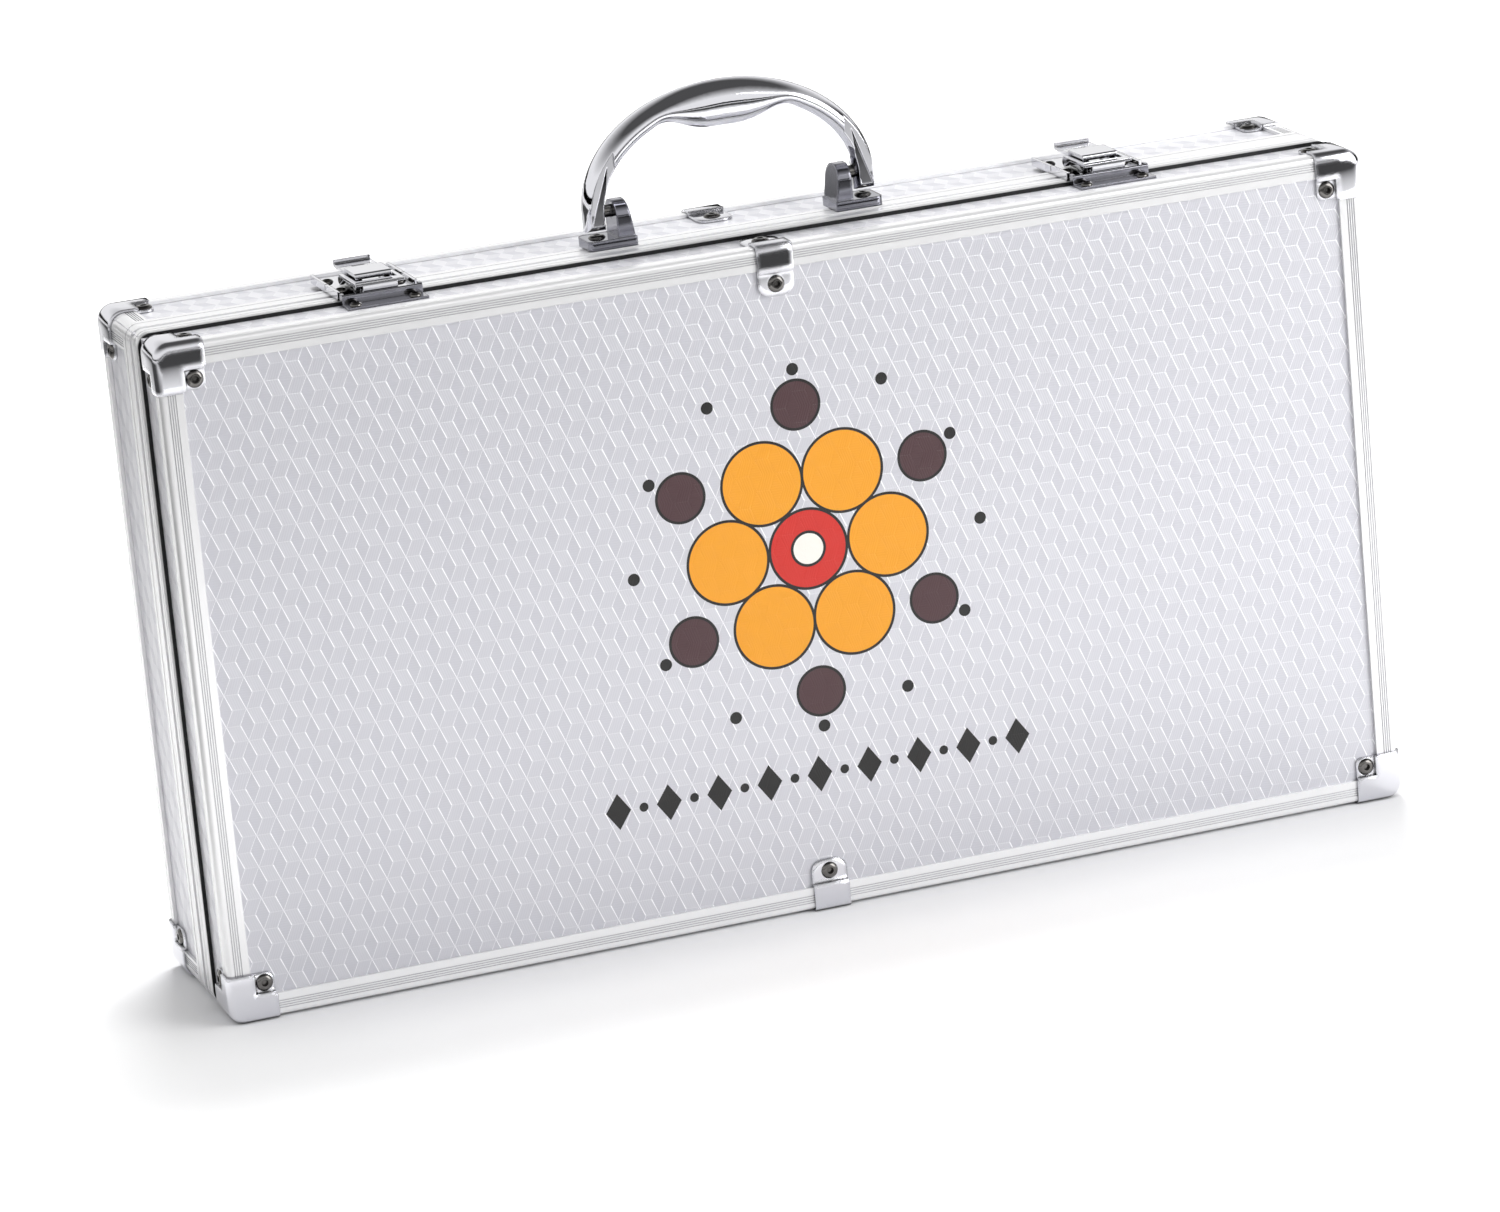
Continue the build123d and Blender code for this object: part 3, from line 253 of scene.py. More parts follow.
# ---------------------------------------------------------------- finishes
def drawn_aluminium(name, stretch):
    """Extruded and satin anodised: a pale metal with faint draw lines along the profile.

    The clear oxide scatters part of the light, so the metal is not a full mirror. Where the lid
    meets the base, little light comes in, and the lips are painted nearly black as shade, the
    lid's most; seams and ribs are painted darker as shade too. The draw lines are wider than
    real ones, so that they show.
    """
    def build(tree, shader):
        grain(tree, shader, feature=0.4 * MM, strength=0.05, depth=0.02 * MM, roughness=0.24,
              spread=0.02, stretch=stretch)
        metal = painted_crevice_shade(tree, "#F4F4F5", "#B6B6BA", reach=1.0 * MM)
        # painted shade: near the gap between lid and base the metal is painted nearly black
        place = add_node(tree, "ShaderNodeTexCoord")
        split = add_node(tree, "ShaderNodeSeparateXYZ", (place.outputs["Object"],))
        behind = add_node(tree, "ShaderNodeMath", (split.outputs["Y"], seam_y),
                          operation="SUBTRACT")
        beside = add_node(tree, "ShaderNodeMath", (behind,), operation="ABSOLUTE")
        painted_seam_shade = add_node(tree, "ShaderNodeMapRange", {"Value": beside, "From Min": seam_reach,
                                                     "From Max": seam_reach + seam_fade,
                                                     "To Min": 1.0, "To Max": 0.0})
        seam_shaded_metal = add_node(tree, "ShaderNodeMix", {"Factor": painted_seam_shade, "A": metal,
                                                "B": linear("#0C0C0D")}, data_type="RGBA")
        tree.links.new(seam_shaded_metal.outputs["Result"], shader.inputs["Base Color"])
    return surface(name, {"Metallic": anodised_metallic}, build)


def bright_chrome(name, tint, dark, roughness, edge_round, reach, crown=0.0):
    """Nickel and chrome plate over pressed steel or a zinc casting: a mirror, faintly rippled.

    Pressing and polishing leave no sharp edge, so reflections run over a wide round. The
    ripples are 11 mm long. Seams and hollows are painted towards dark, as shade.
    """
    def build(tree, shader):
        grain(tree, shader, feature=11.1 * MM, strength=0.05, depth=0.4 * MM,
              roughness=roughness, spread=0.01, edge_round=edge_round, crown=crown)
        tree.links.new(painted_crevice_shade(tree, tint, dark, reach), shader.inputs["Base Color"])
    return surface(name, {"Metallic": 1.0}, build)


def rivet_steel():
    """Nickel plated rivets and pins, faintly pitted; painted dark as reflection, hollows darker as
    shade.
    """
    def build(tree, shader):
        grain(tree, shader, feature=1.43 * MM, strength=0.08, depth=0.05 * MM, roughness=0.16,
              spread=0.03)
        tree.links.new(painted_crevice_shade(tree, "#6E6C6A", "#0C0A09", reach=1.2 * MM),
                       shader.inputs["Base Color"])
    return surface("rivet_steel", {"Metallic": 1.0}, build)


def rolled_steel():
    """Zinc plated strip for the hinges: even grey with rolling marks 0.8 by 10 mm."""
    def build(tree, shader):
        grain(tree, shader, feature=0.83 * MM, strength=0.1, depth=0.05 * MM, roughness=0.30,
              spread=0.04, stretch=(rolling_stretch, 1, 1))
        # painted shade in the hinge's seams and round its pins
        tree.links.new(painted_crevice_shade(tree, "#CFCFD2", "#1D1D20", reach=1.5 * MM),
                       shader.inputs["Base Color"])
    return surface("rolled_steel", {"Metallic": 1.0}, build)


def black_felt():
    """Needled felt: matt black, with tufts of 0.7 mm and a short nap that greys at the edges."""
    def build(tree, shader):
        grain(tree, shader, feature=0.67 * MM, strength=0.6, depth=0.4 * MM, roughness=0.92,
              spread=0.04)
    return surface("black_felt", {"Base Color": linear("#1B1B1E"), "Sheen Weight": 0.35,
                                  "Sheen Roughness": 0.5}, build)


def flocked_tray():
    """Vacuum formed sheet, flocked black: finer, softer and more even than felt."""
    def build(tree, shader):
        grain(tree, shader, feature=0.45 * MM, strength=0.4, depth=0.3 * MM, roughness=0.88,
              spread=0.04)
    return surface("flocked_tray", {"Base Color": linear("#202024"), "Sheen Weight": 0.25,
                                    "Sheen Roughness": 0.4}, build)


def plane_length(tree, first, second):
    """The length of a run that goes first along one axis and second along the other."""
    squares = [add_node(tree, "ShaderNodeMath", (leg, leg), operation="MULTIPLY")
               for leg in (first, second)]
    total = add_node(tree, "ShaderNodeMath", squares, operation="ADD")
    return add_node(tree, "ShaderNodeMath", (total,), operation="SQRT")


def nearest_on_ring(tree, across, up, count, radius, turn=0.0):
    """Distance in mm from the nearest of count points on a ring round the origin."""
    step = 2 * pi / count
    angle = add_node(tree, "ShaderNodeMath", (up, across), operation="ARCTAN2")
    shifted = add_node(tree, "ShaderNodeMath", (angle, 2 * pi + step / 2 - turn),
                       operation="ADD")
    cycle = add_node(tree, "ShaderNodeMath", (shifted, step), operation="MODULO")
    local = add_node(tree, "ShaderNodeMath", (cycle, step / 2), operation="SUBTRACT")
    reach = plane_length(tree, across, up)
    cosine = add_node(tree, "ShaderNodeMath", (local,), operation="COSINE")
    sine = add_node(tree, "ShaderNodeMath", (local,), operation="SINE")
    level = add_node(tree, "ShaderNodeMath", (reach, cosine), operation="MULTIPLY")
    out = add_node(tree, "ShaderNodeMath", (level, radius), operation="SUBTRACT")
    side = add_node(tree, "ShaderNodeMath", (reach, sine), operation="MULTIPLY")
    return plane_length(tree, out, side)


def ornament(tree, foil):
    """A rosette of round petals over a border of lozenges and beads: its colour and its ink."""
    place = add_node(tree, "ShaderNodeTexCoord")
    split = add_node(tree, "ShaderNodeSeparateXYZ", (place.outputs["Object"],))
    x_mm = add_node(tree, "ShaderNodeMath", (split.outputs["X"], 1 / MM), operation="MULTIPLY")
    z_mm = add_node(tree, "ShaderNodeMath", (split.outputs["Z"], 1 / MM), operation="MULTIPLY")
    across = add_node(tree, "ShaderNodeMath", (x_mm, ornament_centre[0]), operation="SUBTRACT")
    up = add_node(tree, "ShaderNodeMath", (z_mm, ornament_centre[1]), operation="SUBTRACT")
    discs = ((leaf_ring, pi / petal_count, leaf_radius, "#4A2F33"),
             (petal_ring, 0.0, petal_radius, "#F0A01E"),
             (0.0, 0.0, heart_radius, "#CF2A20"),
             (0.0, 0.0, seed_radius, "#F5F2EA"))
    layers = []
    inked = []
    for ring, turn, radius, code in discs:
        away = nearest_on_ring(tree, across, up, petal_count, ring, turn)
        outline = add_node(tree, "ShaderNodeMath", (away, radius + outline_width),
                           operation="LESS_THAN")
        body = add_node(tree, "ShaderNodeMath", (away, radius), operation="LESS_THAN")
        layers += [(outline, black_ink), (body, code)]
        inked.append(outline)

    away = nearest_on_ring(tree, across, up, dot_count, dot_ring)
    dots = add_node(tree, "ShaderNodeMath", (away, dot_radius), operation="LESS_THAN")
    along = add_node(tree, "ShaderNodeMath", (x_mm, border_centre[0]), operation="SUBTRACT")
    above = add_node(tree, "ShaderNodeMath", (z_mm, border_centre[1]), operation="SUBTRACT")
    level = add_node(tree, "ShaderNodeMath", (above,), operation="ABSOLUTE")
    from_middle = add_node(tree, "ShaderNodeMath", (along,), operation="ABSOLUTE")
    inside = add_node(tree, "ShaderNodeMath", (from_middle, border_half_length),
                      operation="LESS_THAN")
    repeat = add_node(tree, "ShaderNodeMath", (along, border_pitch / 2), operation="PINGPONG")
    wide = add_node(tree, "ShaderNodeMath", (repeat, lozenge_half_width), operation="DIVIDE")
    high = add_node(tree, "ShaderNodeMath", (level, lozenge_half_height), operation="DIVIDE")
    slope = add_node(tree, "ShaderNodeMath", (wide, high), operation="ADD")
    lozenge = add_node(tree, "ShaderNodeMath", (slope, 1.0), operation="LESS_THAN")
    beside = add_node(tree, "ShaderNodeMath", (repeat, border_pitch / 2), operation="SUBTRACT")
    bead = add_node(tree, "ShaderNodeMath", (plane_length(tree, beside, level), bead_radius),
                    operation="LESS_THAN")
    marks = add_node(tree, "ShaderNodeMath", (lozenge, bead), operation="MAXIMUM")
    border = add_node(tree, "ShaderNodeMath", (marks, inside), operation="MULTIPLY")
    black = add_node(tree, "ShaderNodeMath", (dots, border), operation="MAXIMUM")
    layers.append((black, black_ink))
    inked.append(black)

    colour = foil
    for mask, code in layers:
        mixed = add_node(tree, "ShaderNodeMix", {"Factor": mask, "A": colour,
                                                 "B": linear(code)}, data_type="RGBA")
        colour = mixed.outputs["Result"]
    ink = inked[0]
    for mask in inked[1:]:
        ink = add_node(tree, "ShaderNodeMath", (ink, mask), operation="MAXIMUM")
    return colour, ink


def foil_laminate(name, side_tone, diamond_tone, printed=False):
    """Board faced with embossed silver foil: satin, ruled facets between pressed lines.

    The facets' tones differ by painted shade, and the bright lines are painted highlights.
    Printed ink covers the foil's shine.
    """
    def build(tree, shader):
        facet = add_node(tree, "ShaderNodeAttribute", attribute_name="facet")
        rim = add_node(tree, "ShaderNodeAttribute", attribute_name="rim")
        # painted shade: the facets' tones
        painted_shade = add_node(tree, "ShaderNodeMix", {"Factor": facet.outputs["Fac"],
                                                "A": linear(side_tone),
                                                "B": linear(diamond_tone)}, data_type="RGBA")
        # painted highlight along the rims
        bright = add_node(tree, "ShaderNodeMath", (rim.outputs["Fac"], painted_highlight_level),
                          operation="MULTIPLY")
        lined = add_node(tree, "ShaderNodeMix", {"Factor": bright, "A": painted_shade,
                                                 "B": linear("#FCFCFF")}, data_type="RGBA")
        colour = lined.outputs["Result"]
        if printed:
            colour, ink = ornament(tree, colour)
            covered = add_node(tree, "ShaderNodeMath", (ink, foil_metallic),
                               operation="MULTIPLY")
            bare = add_node(tree, "ShaderNodeMath", (foil_metallic, covered),
                            operation="SUBTRACT")
            tree.links.new(bare.outputs[0], shader.inputs["Metallic"])
        tree.links.new(colour, shader.inputs["Base Color"])
        place = add_node(tree, "ShaderNodeUVMap", uv_map="UVMap")
        ruling = add_node(tree, "ShaderNodeSeparateXYZ", (place,))
        turns = add_node(tree, "ShaderNodeMath", (ruling.outputs["X"], 2 * pi / hatch_pitch),
                         operation="MULTIPLY")
        wave = add_node(tree, "ShaderNodeMath", (turns,), operation="SINE")
        bump = add_node(tree, "ShaderNodeBump", {"Height": wave, "Strength": hatch_strength,
                                                 "Distance": hatch_depth})
        tree.links.new(bump.outputs[0], shader.inputs["Normal"])
    return surface(name, {"Metallic": foil_metallic, "Roughness": foil_roughness}, build)


# ---------------------------------------------------------------- embossed boards
def painted_rim_highlight(face, shade):
    """The painted highlight of a sloped rim: those that fall to the right get the most."""
    along = max((edge.verts[1].co - edge.verts[0].co for edge in face.edges),
                key=lambda run: run.length)
    if abs(along.y) < abs(along.x):
        return level_painted_highlight
    if along.x * along.y < 0:
        return falling_painted_highlight
    return diamond_rising_painted_highlight if shade == diamond_shade else side_rising_painted_highlight


def facet_cell():
    """One diamond and its two side facets, each with a sloped rim down to the groove."""
    half = row_pitch / 2
    top = (0, half)
    right = (diamond_half_width, 0)
    foot = (0, -half)
    left = (-diamond_half_width, 0)
    next_tip = (column_pitch, 0)
    next_above = (column_pitch - diamond_half_width, half)
    next_below = (column_pitch - diamond_half_width, -half)
    facets = (((top, left, foot, right), diamond_shade, 0.0, (0.0, 1.0)),
              ((top, right, next_tip, next_above), upper_shade, facet_lean,
               (1.0, ruling_slant)),
              ((right, foot, next_below, next_tip), lower_shade, -facet_lean,
               (1.0, -ruling_slant)))
    mesh = bpy.data.meshes.new("facet_cell")
    form = bmesh.new()
    # painted shade of each face, and the painted highlight of its rims
    painted_shade = form.faces.layers.float.new("facet")
    line = form.faces.layers.float.new("rim")
    ruling = form.loops.layers.uv.new("UVMap")
    for corners, shade, lean, direction in facets:
        points = [Vector((x, y, 0)) for x, y in corners]
        centre = sum(points, Vector()) / len(points)
        rim = [form.verts.new(point - Vector((0, 0, groove_depth))) for point in points]
        crown = []
        for point in points:
            place = point + (centre - point).normalized() * rim_width
            place.z = lean * (place.y - centre.y) - facet_lean * half / 2
            crown.append(form.verts.new(place))
        flat = form.faces.new(crown)
        slopes = [form.faces.new((rim[i], rim[j], crown[j], crown[i]))
                  for i, j in ((0, 1), (1, 2), (2, 3), (3, 0))]
        for face in (flat, *slopes):
            face[painted_shade] = shade
            face[line] = 0.0 if face == flat else painted_rim_highlight(face, shade)
            for loop in face.loops:
                at = loop.vert.co
                run = (at.x * direction[0] + at.y * direction[1]) / MM
                loop[ruling].uv = (run, 0.0)
    bmesh.ops.remove_doubles(form, verts=form.verts, dist=weld_reach)
    bmesh.ops.recalc_face_normals(form, faces=form.faces)
    if sum(face.normal.z for face in form.faces) < 0:
        bmesh.ops.reverse_faces(form, faces=form.faces)
    form.to_mesh(mesh)
    form.free()
    return bpy.data.objects.new("facet_cell", mesh)


def emboss_tree():
    """Geometry nodes that lay cells in columns, every other one half a row lower."""
    tree = bpy.data.node_groups.new("emboss", "GeometryNodeTree")
    for name, kind in (("Cell", "NodeSocketObject"), ("Column Pitch", "NodeSocketFloat"),
                       ("Row Pitch", "NodeSocketFloat"), ("Columns", "NodeSocketInt"),
                       ("Rows", "NodeSocketInt"), ("Material", "NodeSocketMaterial")):
        tree.interface.new_socket(name, in_out="INPUT", socket_type=kind)
    tree.interface.new_socket("Geometry", in_out="OUTPUT", socket_type="NodeSocketGeometry")
    given = add_node(tree, "NodeGroupInput").outputs
    spans = []
    for pitch, count in (("Column Pitch", "Columns"), ("Row Pitch", "Rows")):
        steps = add_node(tree, "ShaderNodeMath", (given[count], 1.0), operation="SUBTRACT")
        spans.append(add_node(tree, "ShaderNodeMath", (steps, given[pitch]),
                              operation="MULTIPLY"))
    grid = add_node(tree, "GeometryNodeMeshGrid",
                    {"Size X": spans[0], "Size Y": spans[1], "Vertices X": given["Columns"],
                     "Vertices Y": given["Rows"]})
    position = add_node(tree, "GeometryNodeInputPosition")
    place = add_node(tree, "ShaderNodeSeparateXYZ", (position,))
    half_width = add_node(tree, "ShaderNodeMath", (spans[0], 2.0), operation="DIVIDE")
    from_left = add_node(tree, "ShaderNodeMath", (place.outputs["X"], half_width),
                         operation="ADD")
    column = add_node(tree, "ShaderNodeMath", (from_left, given["Column Pitch"]),
                      operation="DIVIDE")
    whole = add_node(tree, "ShaderNodeMath", (column,), operation="ROUND")
    odd = add_node(tree, "ShaderNodeMath", (whole, 2.0), operation="MODULO")
    half_row = add_node(tree, "ShaderNodeMath", (given["Row Pitch"], -2.0), operation="DIVIDE")
    drop = add_node(tree, "ShaderNodeMath", (odd, half_row), operation="MULTIPLY")
    offset = add_node(tree, "ShaderNodeCombineXYZ", {"Y": drop})
    moved = add_node(tree, "GeometryNodeSetPosition", {"Geometry": grid, "Offset": offset})
    cell = add_node(tree, "GeometryNodeObjectInfo", {"Object": given["Cell"]})
    laid = add_node(tree, "GeometryNodeInstanceOnPoints",
                    {"Points": moved, "Instance": cell.outputs["Geometry"]})
    real = add_node(tree, "GeometryNodeRealizeInstances", {"Geometry": laid})
    joined = add_node(tree, "GeometryNodeMergeByDistance", {"Geometry": real,
                                                            "Distance": cell_weld_reach})
    dressed = add_node(tree, "GeometryNodeSetMaterial", {"Geometry": joined,
                                                         "Material": given["Material"]})
    add_node(tree, "NodeGroupOutput", (dressed,))
    return tree


def embossed_sheet(tree, cell, width, height, material):
    """A flat embossed sheet round the origin, larger than width by height, as a mesh."""
    holder = add_object("sheet", bpy.data.meshes.new("sheet"))
    modifier = holder.modifiers.new("emboss", "NODES")
    modifier.node_group = tree
    values = {"Cell": cell, "Column Pitch": column_pitch, "Row Pitch": row_pitch,
              "Columns": int(width / column_pitch) + 2 * spare_cells,
              "Rows": int(height / row_pitch) + 2 * spare_cells, "Material": material}
    for item in tree.interface.items_tree:
        if item.in_out == "INPUT":
            modifier[item.identifier] = values[item.name]
    holder.update_tag()
    bpy.context.view_layer.update()
    evaluated = holder.evaluated_get(bpy.context.evaluated_depsgraph_get())
    mesh = bpy.data.meshes.new_from_object(evaluated)
    bpy.data.objects.remove(holder)
    return mesh


def board_frame(node, outward):
    """Where a board's outer face is: its turn and place, its width, height and thickness."""
    low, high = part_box(node)
    axes = {"front": ((1, 0, 0), (0, 0, 1)), "rear": ((-1, 0, 0), (0, 0, 1)),
            "top": ((1, 0, 0), (0, 1, 0)), "bottom": ((1, 0, 0), (0, -1, 0)),
            "left": ((0, -1, 0), (0, 0, 1)), "right": ((0, 1, 0), (0, 0, 1))}[outward]
    across, up = Vector(axes[0]), Vector(axes[1])
    normal = across.cross(up)
    spans = [abs((high - low).dot(axis)) for axis in (across, up, normal)]
    face = (low + high) / 2 + normal * spans[2] / 2
    turn = Matrix((across, up, normal)).transposed().to_4x4()
    return Matrix.Translation(face) @ turn, spans


def embossed_board(name, node, outward, body, tree, cell, material):
    """One board: the embossed sheet trimmed to the board's rim and closed behind."""
    place, (width, height, thickness) = board_frame(node, outward)
    askew = abs(sin(sheet_turn))
    mesh = embossed_sheet(tree, cell, width + height * askew, height + width * askew, material)
    mesh.transform(Matrix.Rotation(sheet_turn, 4, "Z"))
    form = bmesh.new()
    form.from_mesh(mesh)
    for axis, half in ((0, width / 2), (1, height / 2)):
        for sign in (-1, 1):
            normal = Vector((0, 0, 0))
            normal[axis] = sign
            bmesh.ops.bisect_plane(form, geom=form.verts[:] + form.edges[:] + form.faces[:],
                                   dist=cut_reach, plane_co=normal * half, plane_no=normal,
                                   clear_outer=True)
    rim = [edge for edge in form.edges if edge.is_boundary]
    skirt = bmesh.ops.extrude_edge_only(form, edges=rim)["geom"]
    for part in skirt:
        if isinstance(part, bmesh.types.BMVert):
            part.co.z = -thickness
    back = [part for part in skirt if isinstance(part, bmesh.types.BMEdge)]
    bmesh.ops.contextual_create(form, geom=back)
    bmesh.ops.recalc_face_normals(form, faces=form.faces)
    form.to_mesh(mesh)
    form.free()
    mesh.transform(place)
    board = add_object(name, mesh)
    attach(board, body)
    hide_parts(node)


def dress_boards(plain, printed, sides):
    """The two face boards and the eight side boards."""
    tree = emboss_tree()
    cell = facet_cell()
    for shell, face, finish in (("base", "rear", plain), ("lid", "front", printed)):
        embossed_board(f"{shell}_face_skin", f"{shell}_panel", face, shell, tree, cell, finish)
        for side in ("top", "bottom", "left", "right"):
            embossed_board(f"{shell}_{side}_skin", f"{shell}_side_{side}", side, shell, tree,
                           cell, sides)


# ---------------------------------------------------------------- linings and tray
def soft_piece(node, body, finish):
    """A lining or tray with its cut edges rolled over, in place of the plain solid."""
    mesh = frame["nodes"][node].data.copy()
    form = bmesh.new()
    form.from_mesh(mesh)
    bmesh.ops.remove_doubles(form, verts=form.verts, dist=weld_reach)
    bmesh.ops.dissolve_limit(form, angle_limit=flat_angle, verts=form.verts, edges=form.edges)
    sharp = [edge for edge in form.edges
             if len(edge.link_faces) == 2 and edge.calc_face_angle(0) > sharp_angle
             and edge.is_convex]
    bmesh.ops.bevel(form, geom=sharp, offset=rolled_edge, segments=rolled_segments,
                    profile=rolled_profile, affect="EDGES", clamp_overlap=True)
    form.to_mesh(mesh)
    form.free()
    mesh.materials.clear()
    mesh.materials.append(finish)
    piece = add_object(f"{node}_soft", mesh)
    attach(piece, body)
    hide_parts(node)


# ---------------------------------------------------------------- studio
def place_camera():
    """The camera, turned about its own axis by the roll."""
    back = Vector((sin(camera_azimuth) * cos(camera_elevation),
                   -cos(camera_azimuth) * cos(camera_elevation), sin(camera_elevation)))
    right = Vector((0, 0, 1)).cross(back).normalized()
    up = back.cross(right)
    turned_right = right * cos(camera_roll) + up * sin(camera_roll)
    turned_up = up * cos(camera_roll) - right * sin(camera_roll)
    data = bpy.data.cameras.new("camera")
    data.sensor_fit = "HORIZONTAL"
    data.sensor_width = sensor_width
    data.lens = sensor_width * focal_pixels / image_width
    data.clip_end = camera_sight
    camera = add_object("camera", data)
    pose = Matrix((turned_right, turned_up, back)).transposed().to_4x4()
    camera.matrix_world = Matrix.Translation(camera_target + back * camera_distance) @ pose
    bpy.context.scene.camera = camera


def any_ray(tree, *names):
    """1 for a ray of any of the named kinds."""
    path = add_node(tree, "ShaderNodeLightPath")
    result = path.outputs[names[0]]
    for name in names[1:]:
        result = add_node(tree, "ShaderNodeMath", (result, path.outputs[name]),
                          operation="MAXIMUM")
    return result


def light_world():
    """White to the camera, a plainer level for soft light, and a room for reflections.

    Bright metal sees a white wall under a dark ceiling, a dark line where wall and table meet,
    and a dark flag on the right.
    """
    world = bpy.data.worlds.new("studio")
    world.use_nodes = True
    tree = world.node_tree
    tree.nodes.clear()
    seen = any_ray(tree, "Is Camera Ray", "Is Glossy Ray", "Is Transmission Ray")
    level = add_node(tree, "ShaderNodeMapRange", {"Value": seen, "To Min": ambient_level,
                                                  "To Max": 1.0})
    sky = add_node(tree, "ShaderNodeTexCoord")
    looked_at = add_node(tree, "ShaderNodeSeparateXYZ", (sky.outputs["Generated"],)).outputs
    lean = add_node(tree, "ShaderNodeMath", (looked_at["Y"], ceiling_lean),
                    operation="MULTIPLY")
    height = add_node(tree, "ShaderNodeMath", (looked_at["Z"], lean), operation="ADD")
    wall = add_node(tree, "ShaderNodeMapRange", {"Value": height, "From Min": wall_top,
                                                 "From Max": ceiling_start, "To Min": 1.0,
                                                 "To Max": ceiling_level})
    above = add_node(tree, "ShaderNodeMath", (looked_at["Z"], horizon_z), operation="SUBTRACT")
    beside = add_node(tree, "ShaderNodeMath", (above,), operation="ABSOLUTE")
    line = add_node(tree, "ShaderNodeMapRange", {"Value": beside, "From Min": horizon_reach,
                                                 "From Max": horizon_reach + horizon_fade})
    flag = add_node(tree, "ShaderNodeMapRange", {"Value": looked_at["X"],
                                                 "From Min": right_flag_start,
                                                 "From Max": right_flag_full,
                                                 "To Min": 1.0, "To Max": right_flag_level})
    lined = add_node(tree, "ShaderNodeMath", (wall, line), operation="MULTIPLY")
    room = add_node(tree, "ShaderNodeMath", (lined, flag), operation="MULTIPLY")
    shown = add_node(tree, "ShaderNodeMix", {"Factor": any_ray(tree, "Is Glossy Ray"),
                                             "A": 1.0, "B": room}, data_type="FLOAT")
    strength = add_node(tree, "ShaderNodeMath", (level, shown), operation="MULTIPLY")
    white = add_node(tree, "ShaderNodeBackground", {"Color": (1, 1, 1, 1),
                                                    "Strength": strength})
    add_node(tree, "ShaderNodeOutputWorld", {"Surface": white})
    bpy.context.scene.world = world


def area_light(name, power, size, place, in_reflections):
    """A soft square lamp that points at the case."""
    data = bpy.data.lights.new(name, "AREA")
    data.energy = power
    data.size = size
    lamp = add_object(name, data)
    lamp.visible_glossy = in_reflections
    lamp.location = place
    aim = Vector(lamp_aim) - Vector(place)
    lamp.rotation_euler = aim.to_track_quat("-Z", "Y").to_euler()


def flat_panel(name, half_width, half_height, material):
    """A rectangle round the origin, facing +Z."""
    mesh = bpy.data.meshes.new(name)
    corners = [(-half_width, -half_height, 0), (half_width, -half_height, 0),
               (half_width, half_height, 0), (-half_width, half_height, 0)]
    mesh.from_pydata(corners, [], [(0, 1, 2, 3)])
    mesh.materials.append(material)
    panel = add_object(name, mesh)
    return panel


def lay_floor():
    """A pale floor that keeps the case's shadow, with a painted contact shadow that is darkest where
    the case stands on it.

    Where the floor is looked at, it is lifted towards white; the painted contact shadow dims the
    lift near the case too.
    """
    made = blank_material("studio_floor")
    tree = made.node_tree
    # painted contact shadow: a darker colour and a weaker lift where the case hides the floor
    painted_contact_shadow = add_node(tree, "ShaderNodeAmbientOcclusion", {"Distance": contact_reach},
                    samples=contact_samples)
    open_share = add_node(tree, "ShaderNodeMapRange", {"Value": painted_contact_shadow.outputs["AO"],
                                                       "From Min": contact_full})
    painted_shade = add_node(tree, "ShaderNodeMix", {"Factor": open_share, "A": linear("#E8E8EA"),
                                            "B": linear("#FAFAFA")}, data_type="RGBA")
    matt = add_node(tree, "ShaderNodeBsdfDiffuse", {"Color": painted_shade})
    place = add_node(tree, "ShaderNodeTexCoord")
    reach = add_node(tree, "ShaderNodeVectorMath", (place.outputs["Object"],),
                     operation="LENGTH")
    level = add_node(tree, "ShaderNodeMapRange", {"Value": reach, "From Min": near_reach,
                                                  "From Max": far_reach, "To Min": near_lift,
                                                  "To Max": far_lift})
    lifted = add_node(tree, "ShaderNodeMath", (level, painted_contact_shadow.outputs["AO"]),
                      operation="MULTIPLY")
    seen = any_ray(tree, "Is Camera Ray", "Is Glossy Ray", "Is Transmission Ray")
    strength = add_node(tree, "ShaderNodeMath", (seen, lifted), operation="MULTIPLY")
    lift = add_node(tree, "ShaderNodeEmission", {"Color": (1, 1, 1, 1), "Strength": strength})
    both = add_node(tree, "ShaderNodeAddShader", (matt, lift))
    add_node(tree, "ShaderNodeOutputMaterial", {"Surface": both})
    flat_panel("floor", floor_half, floor_half, made)


def flag_finish():
    """Nearly black in the middle of a card and white at its rim, so that reflections fade."""
    made = blank_material("flag")
    tree = made.node_tree
    place = add_node(tree, "ShaderNodeUVMap", uv_map="UVMap")
    split = add_node(tree, "ShaderNodeSeparateXYZ", (place,))
    out = []
    for axis in ("X", "Y"):
        off_centre = add_node(tree, "ShaderNodeMath", (split.outputs[axis], card_middle),
                              operation="SUBTRACT")
        out.append(add_node(tree, "ShaderNodeMath", (off_centre,), operation="ABSOLUTE"))
    rim = add_node(tree, "ShaderNodeMath", out, operation="MAXIMUM")
    fade = add_node(tree, "ShaderNodeMapRange", {"Value": rim, "From Min": card_core,
                                                 "From Max": card_middle, "To Min": card_level})
    glow = add_node(tree, "ShaderNodeEmission", {"Color": (1, 1, 1, 1), "Strength": fade})
    add_node(tree, "ShaderNodeOutputMaterial", {"Surface": glow})
    return made


def dark_card(name, half_width, half_height, place, material):
    """A dark patch of table that only reflections see, so that bright metal shows a tone."""
    card = flat_panel(name, half_width, half_height, material)
    layer = card.data.uv_layers.new(name="UVMap")
    for loop, corner in zip(layer.data, ((0, 0), (1, 0), (1, 1), (0, 1))):
        loop.uv = corner
    card.location = place
    for ray in ("camera", "diffuse", "shadow", "transmission", "volume_scatter"):
        setattr(card, f"visible_{ray}", False)


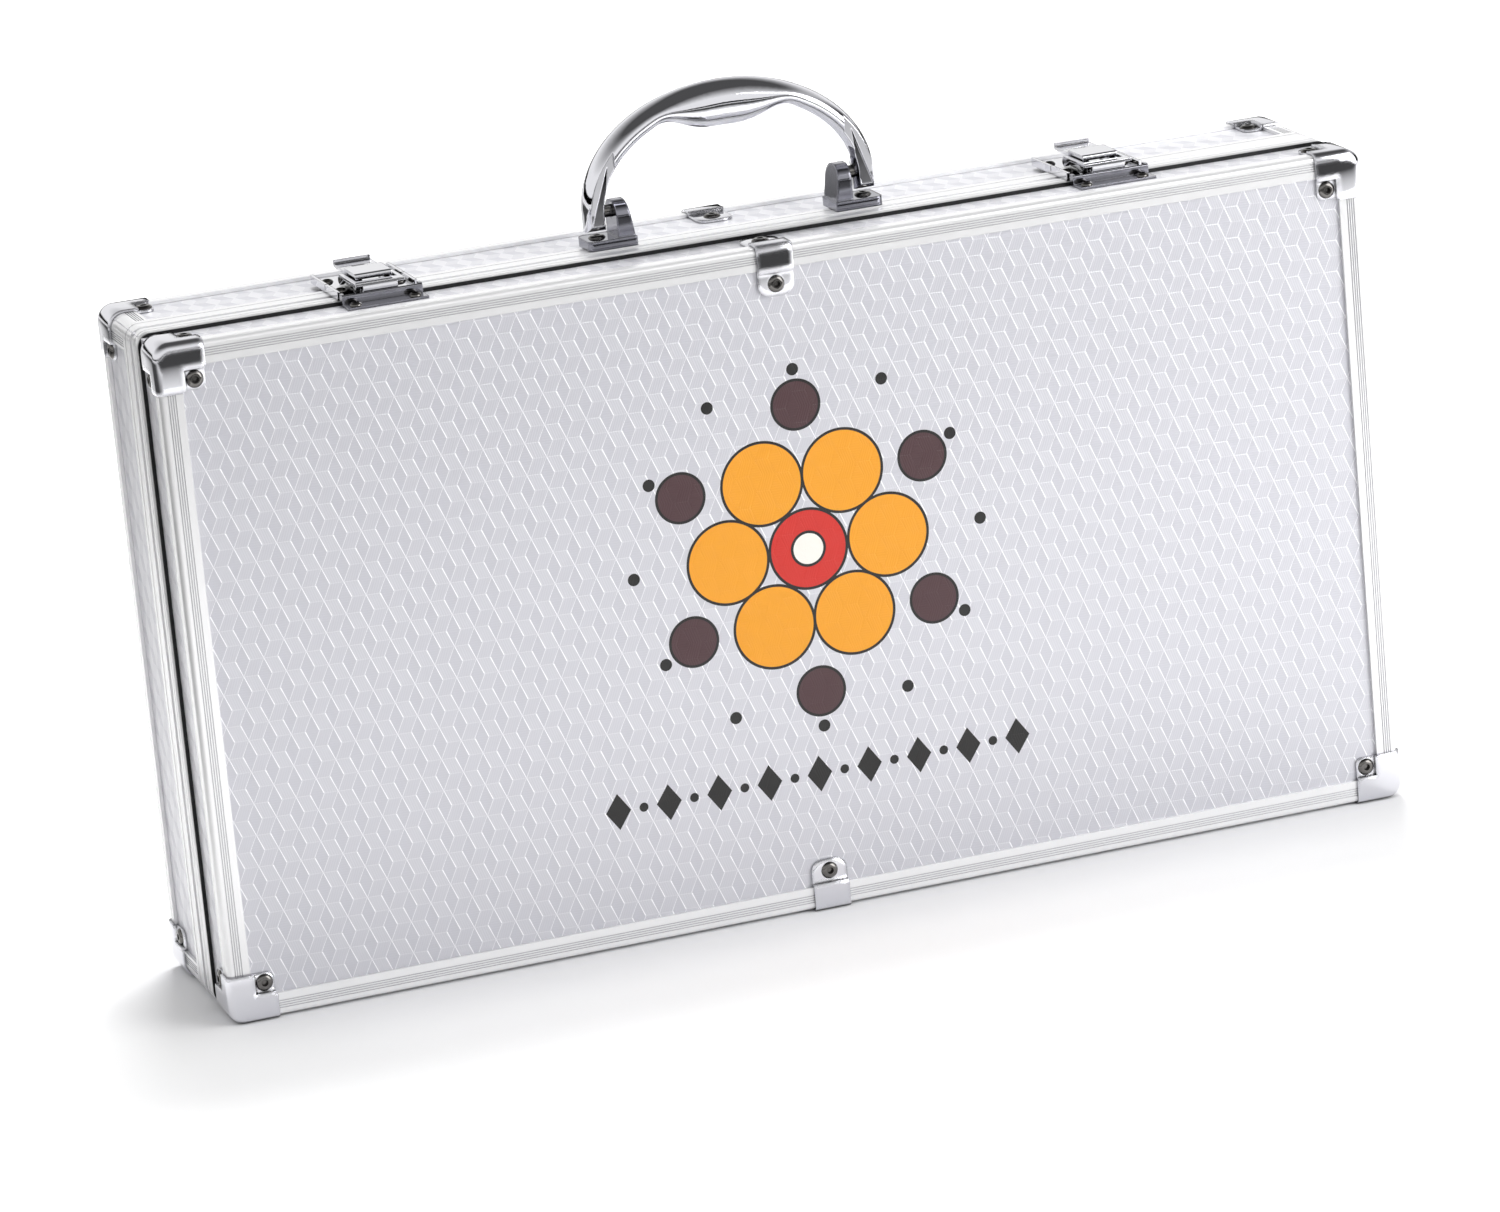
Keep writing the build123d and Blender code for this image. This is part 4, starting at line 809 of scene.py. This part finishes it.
def build_studio():
    """Camera, world, floor, lamps and dark cards."""
    place_camera()
    light_world()
    lay_floor()
    area_light("key", key_power, key_size, key_place, in_reflections=True)
    area_light("top", top_power, top_size, top_place, in_reflections=False)
    area_light("fill", fill_power, fill_size, fill_place, in_reflections=False)
    finish = flag_finish()
    for name, (half_width, half_height, place) in table_cards.items():
        dark_card(name, half_width, half_height, place, finish)
    bpy.context.scene.view_settings.view_transform = "Standard"


# ---------------------------------------------------------------- the case
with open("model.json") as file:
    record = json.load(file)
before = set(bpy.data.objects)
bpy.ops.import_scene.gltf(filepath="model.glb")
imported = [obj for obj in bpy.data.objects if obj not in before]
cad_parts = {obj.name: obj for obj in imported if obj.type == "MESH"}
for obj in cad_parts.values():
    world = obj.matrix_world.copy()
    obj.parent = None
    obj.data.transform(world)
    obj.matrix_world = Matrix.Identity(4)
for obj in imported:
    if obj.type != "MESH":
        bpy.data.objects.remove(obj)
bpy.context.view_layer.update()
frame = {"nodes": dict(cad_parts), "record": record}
# dark is each chrome's painted shade in seams and hollows, out to reach
pressed = bright_chrome("pressed_chrome", "#DEDEE3", "#141416", roughness=0.05,
                        edge_round=2.2 * MM, reach=1.6 * MM, crown=0.22)
cast = bright_chrome("cast_chrome", "#E2E2E7", "#0A0A0B", roughness=0.05,
                     edge_round=0.5 * MM, reach=3.0 * MM)
latch = bright_chrome("latch_chrome", "#E0E0E4", "#060607", roughness=0.05,
                      edge_round=0.4 * MM, reach=3.5 * MM)
# the keeper and the handle's brackets: darker copies of the chrome, painted shade
shaded_keeper = bright_chrome("shaded_keeper_chrome", "#94949A", "#060607", roughness=0.10,
                       edge_round=0.3 * MM, reach=2.0 * MM)
shaded_bracket = bright_chrome("shaded_bracket_chrome", "#8A8A92", "#0E0E10", roughness=0.09,
                        edge_round=1.0 * MM, reach=1.6 * MM)
along_x = drawn_aluminium("aluminium_across", (draw_stretch, 1, 1))
along_y = drawn_aluminium("aluminium_deep", (1, draw_stretch, 1))
along_z = drawn_aluminium("aluminium_upright", (1, 1, draw_stretch))
finishes = {"frame_aluminium": along_x, "cap_chrome": pressed, "latch_chrome": latch,
            "handle_chrome": cast, "rivet_steel": rivet_steel(), "hinge_steel": rolled_steel()}
soft_bodies = {"base_lining": "base", "lid_lining": "lid", "tile_tray": "base"}
soft_finishes = {"lining_felt": black_felt(), "tray_flock": flocked_tray()}
special = {"edge_left": along_z, "edge_right": along_z, "corner_profile": along_y,
           "handle_bracket": shaded_bracket, "latch_keeper": shaded_keeper}
for subpart in frame["record"]["subparts"]:
    name = subpart["node"]
    slot = subpart["material_slot"]
    if slot in soft_finishes:
        soft_piece(name, soft_bodies[name], soft_finishes[slot])
    if slot in finishes:
        finish = finishes[slot]
        for part, other in special.items():
            if part in name:
                finish = other
        materials = frame["nodes"][name].data.materials
        materials.clear()
        materials.append(finish)
# side and diamond tones differ as painted shade
dress_boards(foil_laminate("face_laminate", "#D0D0D6", "#C9C9D0"),
             foil_laminate("printed_laminate", "#D0D0D6", "#C9C9D0", printed=True),
             foil_laminate("side_laminate", "#DADAE0", "#EEEEF2"))
build_studio()
